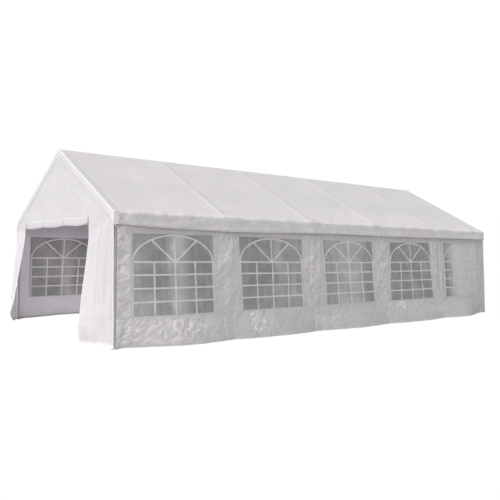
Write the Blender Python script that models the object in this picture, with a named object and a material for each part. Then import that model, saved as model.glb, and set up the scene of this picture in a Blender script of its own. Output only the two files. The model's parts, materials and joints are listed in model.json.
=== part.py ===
"""Marquee tent, 4.8 m wide and 9.8 m long, with a steel tube frame and white sheet covers.

Metres, +Z up. The ground is z = 0 and the origin is the middle of the plan. +X is the side
with the right wall, and the open doorway is in the end at -Y. Six portal frames of two posts
and two rafters stand in a row. A ridge rail, two eave rails and two purlins join them. The
roof cover lies over them, and the walls and end sheets hang from them.
"""

import math

import bmesh
import bpy
from mathutils import Matrix, Vector

# Driving dimensions of the whole tent, to the outside of its covers
WIDTH = 4.8
LENGTH = 9.8
EAVE_HEIGHT = 2.0
RIDGE_HEIGHT = 3.25
BAYS = 5

# Steel frame
TUBE_R = 0.019
SLEEVE_R = 0.0215
SLEEVE_REACH = 0.12
TUBE_SIDES = 12
FOOT_SIZE = 0.10
FOOT_T = 0.004
FOOT_CLIP = 0.008

# Covers and the small gap that touching pieces keep
COVER_T = 0.004
FILM_T = 0.002
GAP = 0.0003
FILM_GAP = 0.0006
FILM_CORNER_GAP = 0.004
ZIP_GAP = 0.0008
TUCK_GAP = 0.0008

# Roof cover: side valance, and the band that folds over each gable end
VALANCE_DROP = 0.21
VALANCE_SCALLOP = 0.02
VALANCE_FLARE = 0.012
RAKE_BAND = 0.12
CORNER_BAND = 0.03

# How far the roof cover and the front gable stand out past the first portal frame
FRONT_OVERHANG = 0.04

# Windows, measured in each bay from its front end and from the ground
WINDOW_START = 0.27
WINDOW_END = 1.67
SILL = 0.46
HEAD = 1.70
FILM_LAP = 0.03

# How the walls lean out below the eave, in metres per metre; 1 is the right side, -1 the left
LEAN_TOP = 1.80
SIDE_LEAN = {1: 0.079, -1: 0.120}
BACK_LEAN = 0.044
BACK_LEAN_START = 3.9

# How the hems stand out near the ground: at the posts, and how much more between them
SIDE_FLARE = {1: 0.10, -1: 0.04}
SIDE_BELLY = {1: 0.10, -1: 0.06}
BACK_FLARE = 0.12
FLARE_CORNER = 1.2
FLARE_CURVE = 1.6
HEM_Z = 0.006

# Ends: the line that the gable sheets stop at, the door leaf and its roll
GABLE_HEM = 1.99
DOOR_HALF = 1.40
DOORWAY_LEFT = -1.81
DOORWAY_RIGHT = 1.445
SWING_TOP = 1.80
FREE_HEM_Z = 0.008
RIGHT_CORNER_HEM_Z = 0.050
LEFT_CORNER_HEM_Z = 0.008
ROLL_HALF_HEIGHT = 0.066
ROLL_HALF_DEPTH = 0.036
ROLL_SAG = 0.012
ROLL_TIES = 3
ROLL_END_GAP = 0.004

# How the two front sheets billow out. Swing is at the free edge, belly half way to the corner.
# Start and hold shape the swing down the edge, and drift is how far the edge's foot moves in.
# Tuck draws the hem back in, fade is the height below which the belly dies out, and lifted is
# how high the hem's free corner is drawn up.
LEFT_SWING = 0.33
LEFT_SWING_START = 1.15
LEFT_SWING_HOLD = 1.0
LEFT_BELLY = 0.085
LEFT_DRIFT = 0.10
LEFT_TUCK = 0.0
LEFT_FADE = 0.65
LEFT_LIFTED = 0.22
RIGHT_SWING = 0.17
RIGHT_SWING_START = 1.6
RIGHT_SWING_HOLD = 2.0
RIGHT_BELLY = 0.03
RIGHT_DRIFT = 0.0
RIGHT_TUCK = 0.15
RIGHT_FADE = 0.01
RIGHT_LIFTED = 0.0
BELLY_CURVE = 5
HEM_TUCK_Z = 0.30
LIFT_FROM = 0.5

# Worked out from the values above
HALF_W = WIDTH / 2
HALF_L = LENGTH / 2
SLOPE = math.atan2(RIDGE_HEIGHT - EAVE_HEIGHT, HALF_W)
NORMAL = Vector((math.sin(SLOPE), 0, math.cos(SLOPE)))
UPHILL = Vector((-math.cos(SLOPE), 0, math.sin(SLOPE)))
END_OUT = HALF_L - COVER_T - GAP
END_IN = END_OUT - COVER_T
WALL_END = END_IN - GAP
PORTAL_END = WALL_END - SLEEVE_R
PORTAL_STEP = 2 * PORTAL_END / BAYS
WALL_OUT = HALF_W - 0.010
WALL_IN = WALL_OUT - COVER_T
POST_X = WALL_IN - GAP - SLEEVE_R
ROOF_TO_AXIS = COVER_T + GAP + SLEEVE_R
AXIS_DROP = ROOF_TO_AXIS / math.cos(SLOPE)
RIDGE_AXIS_Z = RIDGE_HEIGHT - AXIS_DROP
EAVE_AXIS_Z = RIDGE_AXIS_Z - POST_X * math.tan(SLOPE)
WALL_TOP = EAVE_HEIGHT - 0.03


def clear_scene():
    for old in list(bpy.data.objects):
        bpy.data.objects.remove(old, do_unlink=True)


def principled(name, colour, roughness, metallic=0.0, alpha=1.0):
    material = bpy.data.materials.new(name)
    material.use_nodes = True
    shader = material.node_tree.nodes["Principled BSDF"]
    shader.inputs["Base Color"].default_value = (*colour, 1.0)
    shader.inputs["Roughness"].default_value = roughness
    shader.inputs["Metallic"].default_value = metallic
    shader.inputs["Alpha"].default_value = alpha
    return material


def make_object(name, bm, material):
    """Closes a bmesh into a named object with its faces pointing out."""
    bmesh.ops.recalc_face_normals(bm, faces=bm.faces[:])
    mesh = bpy.data.meshes.new(name)
    bm.to_mesh(mesh)
    bm.free()
    obj = bpy.data.objects.new(name, mesh)
    obj.data.materials.append(material)
    bpy.context.scene.collection.objects.link(obj)
    return obj


def ring(centre, across, up, half_across, half_up):
    """Points of a twelve-sided ring, with one on each end of both its axes."""
    points = []
    for i in range(TUBE_SIDES):
        angle = 2 * math.pi * i / TUBE_SIDES
        offset = across * (half_across * math.cos(angle)) + up * (half_up * math.sin(angle))
        points.append(centre + offset)
    return points


def add_loft(bm, loops):
    """Joins loops of equal length side by side and closes both ends."""
    rows = [[bm.verts.new(p) for p in loop] for loop in loops]
    count = len(rows[0])
    for a, b in zip(rows, rows[1:]):
        for i in range(count):
            j = (i + 1) % count
            bm.faces.new((a[i], a[j], b[j], b[i]))
    bm.faces.new(rows[0])
    bm.faces.new(rows[-1][::-1])


def add_tube(bm, start, end, radius):
    """A round bar between two points, in the plane of the frame or along it."""
    along = (end - start).normalized()
    across = Vector((0, 1, 0)) if abs(along.y) < 0.5 else Vector((1, 0, 0))
    up = along.cross(across)
    add_loft(bm, [ring(p, across, up, radius, radius) for p in (start, end)])


def portal_ys():
    return [-PORTAL_END + PORTAL_STEP * k for k in range(BAYS + 1)]


def slope_axis(side, distance):
    """A point on a rafter's axis, at a distance up the slope from the eave corner."""
    x = POST_X + UPHILL.x * distance
    return Vector((side * x, 0, EAVE_AXIS_Z + UPHILL.z * distance))


RAFTER_SPAN = POST_X / math.cos(SLOPE)


def plate_loop(half, z):
    """The foot plate's outline with clipped corners, in step with the tube's ring."""
    short = half - FOOT_CLIP
    points = []
    for turn in range(4):
        rotation = Matrix.Rotation(math.pi / 2 * turn, 3, "Z")
        for x, y in ((half, 0), (half, short), (short, half)):
            points.append(rotation @ Vector((x, y, z)))
    return points


def make_posts(steel):
    """Posts with their foot plates, one mesh shared by all twelve."""
    top = EAVE_AXIS_Z - SLEEVE_REACH - GAP
    across = Vector((1, 0, 0))
    up = Vector((0, 1, 0))
    bm = bmesh.new()
    loops = [plate_loop(FOOT_SIZE / 2, 0), plate_loop(FOOT_SIZE / 2, FOOT_T)]
    for z in (FOOT_T, top):
        loops.append(ring(Vector((0, 0, z)), across, up, TUBE_R, TUBE_R))
    add_loft(bm, loops)
    first = None
    for side, word in ((-1, "left"), (1, "right")):
        for k, y in enumerate(portal_ys()):
            name = f"post_{word}_{k + 1}"
            if first is None:
                first = make_object(name, bm, steel)
                post = first
            else:
                post = bpy.data.objects.new(name, first.data)
                bpy.context.scene.collection.objects.link(post)
            post.location = (side * POST_X, y, 0)


def make_rafters(steel):
    for side, word in ((-1, "left"), (1, "right")):
        bm = bmesh.new()
        low = slope_axis(side, SLEEVE_REACH + GAP)
        high = slope_axis(side, RAFTER_SPAN - SLEEVE_REACH - GAP)
        add_tube(bm, low, high, TUBE_R)
        first = None
        for k, y in enumerate(portal_ys()):
            name = f"rafter_{word}_{k + 1}"
            if first is None:
                first = make_object(name, bm, steel)
                rafter = first
            else:
                rafter = bpy.data.objects.new(name, first.data)
                bpy.context.scene.collection.objects.link(rafter)
            rafter.location = (0, y, 0)


def make_guide(name, tubes, steel):
    """Tubes that don't touch each other, kept out of sight for a Boolean."""
    bm = bmesh.new()
    for start, end, radius in tubes:
        add_tube(bm, start, end, radius)
    guide = make_object(name, bm, steel)
    guide.hide_render = True
    guide.display_type = "WIRE"
    return guide


def add_boolean(obj, guide, operation):
    modifier = obj.modifiers.new(guide.name, "BOOLEAN")
    modifier.object = guide
    modifier.operation = operation
    modifier.solver = "EXACT"


def rail_sleeves(node):
    """The sleeves along a rail at every portal, cut short at the two ends."""
    sleeves = []
    for y in portal_ys():
        low = max(y - SLEEVE_REACH, -PORTAL_END - SLEEVE_R)
        high = min(y + SLEEVE_REACH, PORTAL_END + SLEEVE_R)
        sleeves.append((node + Vector((0, low, 0)), node + Vector((0, high, 0)), SLEEVE_R))
    return sleeves


def make_rail(name, node, arms, steel):
    """One straight rail with the connectors whose arms hold posts and rafters."""
    bm = bmesh.new()
    reach = Vector((0, PORTAL_END, 0))
    add_tube(bm, node - reach, node + reach, TUBE_R)
    rail = make_object(name, bm, steel)
    add_boolean(rail, make_guide(f"guide_{name}_along", rail_sleeves(node), steel), "UNION")
    for i, arm in enumerate(arms):
        tubes = []
        for y in portal_ys():
            start = node + Vector((0, y, 0))
            tubes.append((start, start + arm * SLEEVE_REACH, SLEEVE_R))
        add_boolean(rail, make_guide(f"guide_{name}_arm_{i + 1}", tubes, steel), "UNION")
    return rail


def make_rails(steel):
    left_up = Vector((-UPHILL.x, 0, UPHILL.z))
    down = Vector((0, 0, -1))
    make_rail("ridge_rail", slope_axis(1, RAFTER_SPAN), [-UPHILL, -left_up], steel)
    make_rail("eave_rail_left", slope_axis(-1, 0), [down, left_up], steel)
    make_rail("eave_rail_right", slope_axis(1, 0), [down, UPHILL], steel)


def make_purlins(steel):
    """Purlins half way up each slope, with a sleeve that each rafter passes through."""
    for side, word in ((-1, "left"), (1, "right")):
        node = slope_axis(side, RAFTER_SPAN / 2)
        uphill = Vector((side * UPHILL.x, 0, UPHILL.z))
        bm = bmesh.new()
        reach = Vector((0, PORTAL_END, 0))
        add_tube(bm, node - reach, node + reach, TUBE_R)
        name = f"mid_purlin_{word}"
        purlin = make_object(name, bm, steel)
        half = uphill * (SLEEVE_REACH / 2)
        sleeves = []
        bores = []
        for y in portal_ys():
            centre = node + Vector((0, y, 0))
            sleeves.append((centre - half, centre + half, SLEEVE_R))
            bores.append((centre - half * 1.5, centre + half * 1.5, TUBE_R + GAP * 1.2))
        add_boolean(purlin, make_guide(f"guide_{name}_sleeves", sleeves, steel), "UNION")
        add_boolean(purlin, make_guide(f"guide_{name}_bores", bores, steel), "DIFFERENCE")


def make_sheet(name, grid, material, thickness=COVER_T, holes=()):
    """A cover from a grid of points on its outer face, thickened inwards.

    grid[i][j] runs so that its faces point out, and holes lists the cells left open.
    """
    bm = bmesh.new()
    verts = [[bm.verts.new(p) for p in row] for row in grid]
    for i in range(len(grid) - 1):
        for j in range(len(grid[0]) - 1):
            if (i, j) not in holes:
                bm.faces.new((verts[i][j], verts[i + 1][j], verts[i + 1][j + 1], verts[i][j + 1]))
    bmesh.ops.delete(bm, geom=[v for v in bm.verts if not v.link_faces], context="VERTS")
    mesh = bpy.data.meshes.new(name)
    bm.to_mesh(mesh)
    bm.free()
    obj = bpy.data.objects.new(name, mesh)
    obj.data.materials.append(material)
    bpy.context.scene.collection.objects.link(obj)
    solidify = obj.modifiers.new("thickness", "SOLIDIFY")
    solidify.thickness = thickness
    solidify.offset = -1
    solidify.use_even_offset = True
    solidify.use_rim = True
    return obj


def smooth(t):
    t = max(0.0, min(1.0, t))
    return t * t * (3 - 2 * t)


def hem_swell(z):
    """0 from the sill up, growing to 1 at the ground."""
    return max(0.0, (SILL - z) / SILL) ** FLARE_CURVE


def corner_ease(along, half):
    """0 at the corners of the plan and 1 well inside a side."""
    return smooth((half - abs(along)) / FLARE_CORNER)


def spread(low, high, count):
    return [low + (high - low) * i / count for i in range(count + 1)]


def bay_belly(y):
    """0 at each portal frame and 1 half way between two."""
    if abs(y) > PORTAL_END:
        return 0.0
    return abs(math.sin(math.pi * (y + PORTAL_END) / PORTAL_STEP))


def valance_bottom(y):
    """The scalloped lower edge of the roof cover's side valance, lowest mid bay."""
    return EAVE_HEIGHT - VALANCE_DROP + VALANCE_SCALLOP * (1 - bay_belly(y))


def roof_profile(y):
    """Outer points of the cover across the tent, from the left valance to the right one."""
    half = [(HALF_W + VALANCE_FLARE, valance_bottom(y))]
    half.append((HALF_W + VALANCE_FLARE * 0.5, (EAVE_HEIGHT + valance_bottom(y)) / 2))
    for t in spread(0, 1, 4):
        half.append((HALF_W * (1 - t), EAVE_HEIGHT + (RIDGE_HEIGHT - EAVE_HEIGHT) * t))
    left = [Vector((-x, y, z)) for x, z in half]
    right = [Vector((x, y, z)) for x, z in half[:-1]]
    return left + right[::-1]


def band_profile(y):
    """Inner edge of the band that folds down over a gable, point for point."""
    points = []
    for p in roof_profile(y):
        side = 1 if p.x >= 0 else -1
        inner_x = HALF_W - CORNER_BAND
        rake_drop = RAKE_BAND / math.cos(SLOPE)
        if p.z < EAVE_HEIGHT - 0.001:
            points.append(Vector((side * inner_x, y, min(p.z, EAVE_HEIGHT - rake_drop))))
        elif abs(p.x) > inner_x:
            z = EAVE_HEIGHT + CORNER_BAND * math.tan(SLOPE) - rake_drop
            points.append(Vector((side * inner_x, y, z)))
        elif abs(p.x) < 0.001:
            points.append(Vector((0, y, RIDGE_HEIGHT - rake_drop)))
        else:
            inward = Vector((side * NORMAL.x, 0, NORMAL.z)) * RAKE_BAND
            points.append(p - inward)
    return points


def make_roof_cover(fabric):
    ys = spread(-HALF_L, HALF_L, BAYS * 4)
    ys[0] -= FRONT_OVERHANG
    grid = [band_profile(ys[0])]
    grid += [roof_profile(y) for y in ys]
    grid.append(band_profile(ys[-1]))
    make_sheet("roof_cover", [row[::-1] for row in grid], fabric)


def bay_columns():
    """Lines across a side wall: at each post, at each window's edges, and between."""
    ys = []
    windows = []
    bay = LENGTH / BAYS
    for k in range(BAYS):
        start = -HALF_L + bay * k
        first = start + WINDOW_START
        last = start + WINDOW_END
        ys += [start, start + WINDOW_START / 2]
        windows.append((len(ys), len(ys) + 3))
        ys += spread(first, last, 3)
        ys.append((last + start + bay) / 2)
    ys.append(HALF_L)
    return [max(-WALL_END, min(WALL_END, y)) for y in ys], windows


def wall_point(side, y, z, inwards=0.0):
    """A point on a side wall's outer face, which leans out and whose hem is pegged wide."""
    below = max(0.0, LEAN_TOP - z)
    hem = (SIDE_FLARE[side] + SIDE_BELLY[side] * bay_belly(y)) * hem_swell(z)
    out = (SIDE_LEAN[side] * below + hem) * corner_ease(y, END_OUT)
    back = BACK_LEAN * below * smooth((y - BACK_LEAN_START) / (WALL_END - BACK_LEAN_START))
    return Vector((side * (WALL_OUT + out - inwards), y + back, z))


def make_side_walls(fabric, film):
    ys, windows = bay_columns()
    zs = spread(HEM_Z, SILL, 4) + spread(SILL, HEAD, 3)[1:]
    sill_row = 4
    head_row = len(zs) - 1
    zs += [LEAN_TOP, WALL_TOP]
    holes = set()
    for first, last in windows:
        for j in range(first, last):
            for i in range(sill_row, head_row):
                holes.add((i, j))
    for side, word in ((-1, "left"), (1, "right")):
        grid = []
        for z in zs:
            grid.append([wall_point(side, y, z) for y in ys])
        wall = make_sheet(f"side_wall_{word}", grid, fabric, holes=holes)
        if side > 0:
            wall.data.flip_normals()
        film_zs = [SILL - FILM_LAP, *zs[sill_row:head_row + 1], HEAD + FILM_LAP]
        make_window_film(side, word, ys[1:-1], film_zs, film)


def make_window_film(side, word, ys, zs, film):
    """One clear sheet behind all the window openings of a wall, on the wall's own lines."""
    grid = []
    for z in zs:
        row = []
        for y in ys:
            slack = FILM_GAP if corner_ease(y, END_OUT) >= 1 else FILM_CORNER_GAP
            row.append(wall_point(side, y, z, COVER_T + slack))
        grid.append(row)
    sheet = make_sheet(f"window_film_{word}", grid, film, FILM_T)
    if side > 0:
        sheet.data.flip_normals()


def back_point(x, z):
    """A point on the outer face of the back sheets, which lean out as the walls do."""
    out = BACK_LEAN * max(0.0, LEAN_TOP - z)
    out += BACK_FLARE * hem_swell(z) * corner_ease(x, WALL_OUT)
    return Vector((x, END_OUT + out, z))


def orient_sheet(sheet, side):
    """An end sheet's grid runs along +X and up, which faces out at the front only."""
    if side < 0:
        sheet.data.flip_normals()


def make_gables(fabric):
    """The triangles above the hem line, tucked under the roof cover."""
    for side, name in ((-1, "front_gable"), (1, "back_gable")):
        peak = RIDGE_HEIGHT - (COVER_T + TUCK_GAP) / math.cos(SLOPE)
        y = END_OUT if side > 0 else -END_OUT - FRONT_OVERHANG
        corner_x = WALL_OUT
        low_z = GABLE_HEM
        eave_z = peak - corner_x * math.tan(SLOPE)
        xs = spread(-corner_x, corner_x, 8)
        grid = [[], []]
        for x in xs:
            grid[0].append(Vector((x, y, low_z)))
            top = max(peak - abs(x) * math.tan(SLOPE), eave_z)
            grid[1].append(Vector((x, y, top)))
        orient_sheet(make_sheet(name, grid, fabric), side)


def back_panel(name, x_low, x_high, fabric):
    """A hanging sheet of the closed back end, between two upright edges."""
    zs = spread(HEM_Z, SILL, 3) + spread(SILL, LEAN_TOP, 2)[1:] + [GABLE_HEM - GAP]
    grid = []
    for z in zs:
        grid.append([back_point(x, z) for x in spread(x_low, x_high, 5)])
    orient_sheet(make_sheet(name, grid, fabric), 1)


def make_back_panels(fabric):
    half_gap = ZIP_GAP / 2
    back_panel("back_panel_left", -WALL_OUT, -DOOR_HALF - half_gap, fabric)
    back_panel("back_door_leaf", -DOOR_HALF + half_gap, DOOR_HALF - half_gap, fabric)
    back_panel("back_panel_right", DOOR_HALF + half_gap, WALL_OUT, fabric)


def front_panel(name, corner_x, edge_x, shape, fabric):
    """A front sheet, held at the corner post and billowing out towards its free edge."""
    swing, start, hold, belly, drift, tucked, fade, lifted, corner_hem_z = shape
    grid = []
    for t in spread(0, 1, 8) + [None]:
        row = []
        for s in spread(0, 1, 6):
            hem = corner_hem_z + (FREE_HEM_Z - corner_hem_z) * s
            hem += lifted * 2 * smooth((s - LIFT_FROM) / (1 - LIFT_FROM) / 2)
            z = GABLE_HEM - GAP if t is None else hem + (SWING_TOP - hem) * t
            fall = max(0.0, 1 - z / SWING_TOP)
            free = 1 - (1 - fall ** start) ** hold
            tuck = 1 - tucked * smooth(1 - z / HEM_TUCK_Z)
            round_out = 1 - min(1.0, z / SWING_TOP) ** BELLY_CURVE
            out = swing * free * tuck * s
            out += belly * round_out * smooth(z / fade) * 4 * s * (1 - s)
            out += FRONT_OVERHANG * z / GABLE_HEM
            x = corner_x + (edge_x + drift * fall - corner_x) * s
            row.append(Vector((x, -END_OUT - out, z)))
        grid.append(row)
    sheet = make_sheet(name, grid, fabric)
    if edge_x > corner_x:
        sheet.data.flip_normals()


def make_front_panels(fabric):
    left = (LEFT_SWING, LEFT_SWING_START, LEFT_SWING_HOLD, LEFT_BELLY, LEFT_DRIFT,
            LEFT_TUCK, LEFT_FADE, LEFT_LIFTED, LEFT_CORNER_HEM_Z)
    right = (RIGHT_SWING, RIGHT_SWING_START, RIGHT_SWING_HOLD, RIGHT_BELLY, RIGHT_DRIFT,
             RIGHT_TUCK, RIGHT_FADE, RIGHT_LIFTED, RIGHT_CORNER_HEM_Z)
    front_panel("front_panel_left", -WALL_OUT, DOORWAY_LEFT, left, fabric)
    front_panel("front_panel_right", WALL_OUT, DOORWAY_RIGHT, right, fabric)


def make_rolled_door(fabric):
    """The middle door leaf, rolled up and tied under the front gable."""
    across = Vector((0, 1, 0))
    up = Vector((0, 0, 1))
    y = -(END_OUT + END_IN) / 2 - FRONT_OVERHANG
    loops = []
    low = DOORWAY_LEFT + ROLL_END_GAP
    high = DOORWAY_RIGHT - ROLL_END_GAP
    for t in spread(0, 1, ROLL_TIES * 3):
        sag = ROLL_SAG * abs(math.sin(ROLL_TIES * math.pi * t))
        z = GABLE_HEM - GAP - ROLL_HALF_HEIGHT - sag
        centre = Vector((low + (high - low) * t, y, z))
        loops.append(ring(centre, across, up, ROLL_HALF_DEPTH, ROLL_HALF_HEIGHT + sag))
    bm = bmesh.new()
    add_loft(bm, loops)
    make_object("rolled_door", bm, fabric)


def main():
    clear_scene()
    steel = principled("galvanised_steel", (0.60, 0.61, 0.63), 0.42, metallic=1.0)
    roof = principled("roof_sheet", (0.86, 0.86, 0.88), 0.55)
    walls = principled("wall_sheet", (0.84, 0.84, 0.86), 0.55)
    ends = principled("end_sheet", (0.88, 0.88, 0.90), 0.55)
    film = principled("window_film", (0.75, 0.76, 0.79), 0.18, alpha=0.35)
    make_posts(steel)
    make_rafters(steel)
    make_rails(steel)
    make_purlins(steel)
    make_roof_cover(roof)
    make_side_walls(walls, film)
    make_gables(ends)
    make_back_panels(ends)
    make_front_panels(ends)
    make_rolled_door(ends)


main()
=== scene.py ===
# %% [markdown]
# # A marquee tent
# This lesson dresses a steel-framed party marquee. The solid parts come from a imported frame.
# Each cell below makes one piece or one finish of the tent, and says why it was made that way.

# %% Load the frame
import json
import math

import bpy
import numpy as np
from mathutils import Matrix, Vector

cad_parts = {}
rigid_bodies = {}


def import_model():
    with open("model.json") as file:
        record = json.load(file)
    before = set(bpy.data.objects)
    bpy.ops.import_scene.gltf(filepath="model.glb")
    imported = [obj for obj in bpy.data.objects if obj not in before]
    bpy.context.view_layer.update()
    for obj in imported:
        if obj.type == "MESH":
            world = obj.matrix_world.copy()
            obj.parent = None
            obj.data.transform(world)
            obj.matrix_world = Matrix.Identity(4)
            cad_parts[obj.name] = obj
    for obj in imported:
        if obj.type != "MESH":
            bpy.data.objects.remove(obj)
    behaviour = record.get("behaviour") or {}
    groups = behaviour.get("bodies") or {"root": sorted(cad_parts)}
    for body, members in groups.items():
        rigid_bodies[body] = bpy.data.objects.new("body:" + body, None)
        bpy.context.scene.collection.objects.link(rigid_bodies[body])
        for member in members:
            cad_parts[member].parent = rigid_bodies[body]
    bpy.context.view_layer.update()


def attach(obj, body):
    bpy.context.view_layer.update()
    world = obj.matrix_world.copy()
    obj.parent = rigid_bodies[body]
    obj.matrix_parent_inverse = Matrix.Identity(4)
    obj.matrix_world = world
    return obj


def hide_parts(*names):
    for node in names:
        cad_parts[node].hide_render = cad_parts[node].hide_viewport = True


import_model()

# %% [markdown]
# ## The eye
# The camera stands as the photographer did, at eye height off the near right corner. Its place
# was found by fitting the eaves, the ridge and the feet of a 4.8 x 9.8 m tent to the picture.
# A matrix from three directions sets it, so that its small roll is kept.

# %% Place the camera
EYE = Vector((10.532, -8.572, 1.430))
EYE_YAW = math.radians(50.908)
EYE_PITCH = math.radians(2.412)
EYE_ROLL = math.radians(0.574)
FRAME_PX = 500.0
FOCAL_PX = 589.2
CENTRE_PX = (271.6, 228.0)
SENSOR_MM = 36.0
FARTHEST = 200.0

ahead = Vector((-math.sin(EYE_YAW) * math.cos(EYE_PITCH), math.cos(EYE_YAW) * math.cos(EYE_PITCH),
                math.sin(EYE_PITCH)))
level_right = Vector((math.cos(EYE_YAW), math.sin(EYE_YAW), 0))
level_up = level_right.cross(ahead)
right = level_right * math.cos(EYE_ROLL) + level_up * math.sin(EYE_ROLL)
up = level_up * math.cos(EYE_ROLL) - level_right * math.sin(EYE_ROLL)

lens = bpy.data.cameras.new("camera")
lens.sensor_width = SENSOR_MM
lens.lens = FOCAL_PX / FRAME_PX * SENSOR_MM
lens.shift_x = 0.5 - CENTRE_PX[0] / FRAME_PX
lens.shift_y = CENTRE_PX[1] / FRAME_PX - 0.5
lens.clip_end = FARTHEST
camera = bpy.data.objects.new("camera", lens)
camera.matrix_world = Matrix.Translation(EYE) @ Matrix((right, up, -ahead)).transposed().to_4x4()
bpy.context.scene.collection.objects.link(camera)
bpy.context.scene.camera = camera
print("lens:", round(lens.lens, 2), "mm, shift:", round(lens.shift_x, 3), round(lens.shift_y, 3))

# %% [markdown]
# ## Measures
# Every sheet is cut and hung to the same few lines as the solids: the eave, the ridge, the hem
# that the gables end at, and the six portal frames. They are written once, in metres.

# %% Measures of the tent
HALF_W = 2.4
HALF_L = 4.9
FRONT_OVERHANG = 0.04
EAVE = 2.0
RIDGE = 3.25
WALL_OUT = 2.390
END_OUT = 4.8957
WALL_TOP = 1.97
GABLE_HEM = 1.99
HEM_Z = 0.006
SILL = 0.46
HEAD = 1.70
BAY = 1.96
WINDOW_START = 0.27
WINDOW_END = 1.67
BAYS = 5
PORTAL_END = 4.8699
PORTAL_STEP = 2 * PORTAL_END / BAYS
POST_X = 2.3642
TUBE_R = 0.019
SLEEVE_R = 0.0215
SLEEVE_REACH = 0.12
SLOPE = math.atan2(RIDGE - EAVE, HALF_W)
SLOPE_RUN = math.hypot(HALF_W, RIDGE - EAVE)
COVER_TO_AXIS = 0.0258
RIDGE_AXIS_Z = RIDGE - COVER_TO_AXIS / math.cos(SLOPE)
EAVE_AXIS_Z = RIDGE_AXIS_Z - POST_X * math.tan(SLOPE)
SHEET_T = 0.0012
TRIM_T = 0.0009
TRIM_LIFT = 0.0010
PORTALS = [-PORTAL_END + PORTAL_STEP * k for k in range(BAYS + 1)]
SIDES = ((1, "right"), (-1, "left"))
print("slope:", round(math.degrees(SLOPE), 1), "degrees, portals at", np.round(PORTALS, 3))

# %% [markdown]
# ## Shader maths in plain expressions
# A finish is a sum of masks. A small class wraps a node's output so that masks can be added and
# multiplied as numbers are, and one method makes any node. That keeps a material readable.

# %% The wire and the paint
class Wire:
    """A node's output that takes part in sums."""

    def __init__(self, paint, socket):
        self.paint = paint
        self.socket = socket

    def maths(self, operation, *values):
        return self.paint.node("Math", {"operation": operation}, dict(enumerate(values)))

    def sine(self):
        return self.maths("SINE", self)

    def size(self):
        return self.maths("ABSOLUTE", self)

    def below(self, limit):
        return self.maths("LESS_THAN", self, limit)

    def other(self, name):
        return Wire(self.paint, self.socket.node.outputs[name])

    def __add__(self, other):
        return self.maths("ADD", self, other)

    def __sub__(self, other):
        return self.maths("SUBTRACT", self, other)

    def __rsub__(self, other):
        return self.maths("SUBTRACT", other, self)

    def __mul__(self, other):
        return self.maths("MULTIPLY", self, other)

    __radd__ = __add__
    __rmul__ = __mul__


class Paint:
    """A material, or a world, that is being made. node() adds a node and returns its output."""

    def __init__(self, name, kind="materials"):
        self.block = getattr(bpy.data, kind).new(name)
        self.block.use_nodes = True
        self.tree = self.block.node_tree
        self.tree.nodes.clear()

    def node(self, kind, settings=None, inputs=None, output=0):
        made = self.tree.nodes.new("ShaderNode" + kind)
        for key, value in (settings or {}).items():
            setattr(made, key, value)
        for key, value in (inputs or {}).items():
            if isinstance(value, Wire):
                self.tree.links.new(value.socket, made.inputs[key])
            else:
                made.inputs[key].default_value = value
        return Wire(self, made.outputs[output]) if made.outputs else None

    def coordinates(self, kind="Object"):
        return self.node("TexCoord", output=kind)

    def axes(self, where):
        first = self.node("SeparateXYZ", None, {0: where})
        return [first.other(axis) for axis in "XYZ"]

    def mapped(self, where, key, value):
        return self.node("Mapping", None, {"Vector": where, key: value})

    def noise(self, where, scale, detail=4.0, roughness=0.55):
        return self.node("TexNoise", None, {"Vector": where, "Scale": scale, "Detail": detail,
                                            "Roughness": roughness})

    def span(self, value, low, high, to_low=0.0, to_high=1.0):
        return self.node("MapRange", {"clamp": True},
                         {0: value, 1: low, 2: high, 3: to_low, 4: to_high})

    def blend(self, mask, low, high):
        """From one colour to another. Each is three numbers, or another blend."""
        low, high = (c if isinstance(c, Wire) else (*c, 1.0) for c in (low, high))
        return self.node("Mix", {"data_type": "RGBA"}, {0: mask, 6: low, 7: high}, 2)

    def bump(self, height, distance, below=None):
        inputs = {"Height": height, "Distance": distance, "Strength": 1.0}
        if below:
            inputs["Normal"] = below
        return self.node("Bump", None, inputs)

    def surface(self, base, rough, normal, more):
        return self.node("BsdfPrincipled", None,
                         {"Base Color": base, "Roughness": rough, "Normal": normal, **more})

    def mix(self, share, first, second):
        return self.node("MixShader", None, {0: share, 1: first, 2: second})

    def glow(self, kind, strength, colour=(1, 1, 1)):
        return self.node(kind, None, {"Color": (*colour, 1.0), "Strength": strength})

    def close(self, surface):
        self.node("Output" + type(self.block).__name__, None, {"Surface": surface})
        print("finish:", self.block.name, len(self.tree.nodes), "nodes")
        return self.block

    def close_cloth(self, base, rough, normal, specular, through):
        """The end of a cloth finish: a share of the light comes through it."""
        shell = self.surface(base, rough, normal, {"Specular IOR Level": specular})
        inner = self.node("BsdfTranslucent", None, {"Color": base, "Normal": normal})
        return self.close(self.mix(through, shell, inner))


def shaded(colour, share):
    return tuple(c * share for c in colour)

print("node helpers ready")

# %% [markdown]
# ## Woven sheet
# The covers are woven polyethylene tape with a coating on both sides. Close up it shows a fine
# check of tapes, then shallow crumples from packing, faint cloudy patches where the coating is
# thicker, and a colour that turns darker and browner towards the ground. Where the cloth was
# crushed, pale slanting creases are painted in: painted highlights on its folds, partly also the
# pale stress marks of crushed cloth. Some light comes through it, so a part of the shader is
# Translucent. The weave reads the sheet's own flat cut, which the UV map holds in metres, and the
# creases read an attribute.

# %% Woven sheet finish
TAPE_PITCH = 0.0028
SHEET_GLOW = 0.37
LOW_TONE = (0.50, 0.47, 0.43)
# The colour of the painted crease highlights.
CREASE_HIGHLIGHT = (0.990, 0.965, 0.987)
CREASE_SLANT = -0.60
CREASE_STRETCH = (1.0, 0.36, 1.0)
SWIRL = (0.09, 0.09, 0.09)


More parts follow.
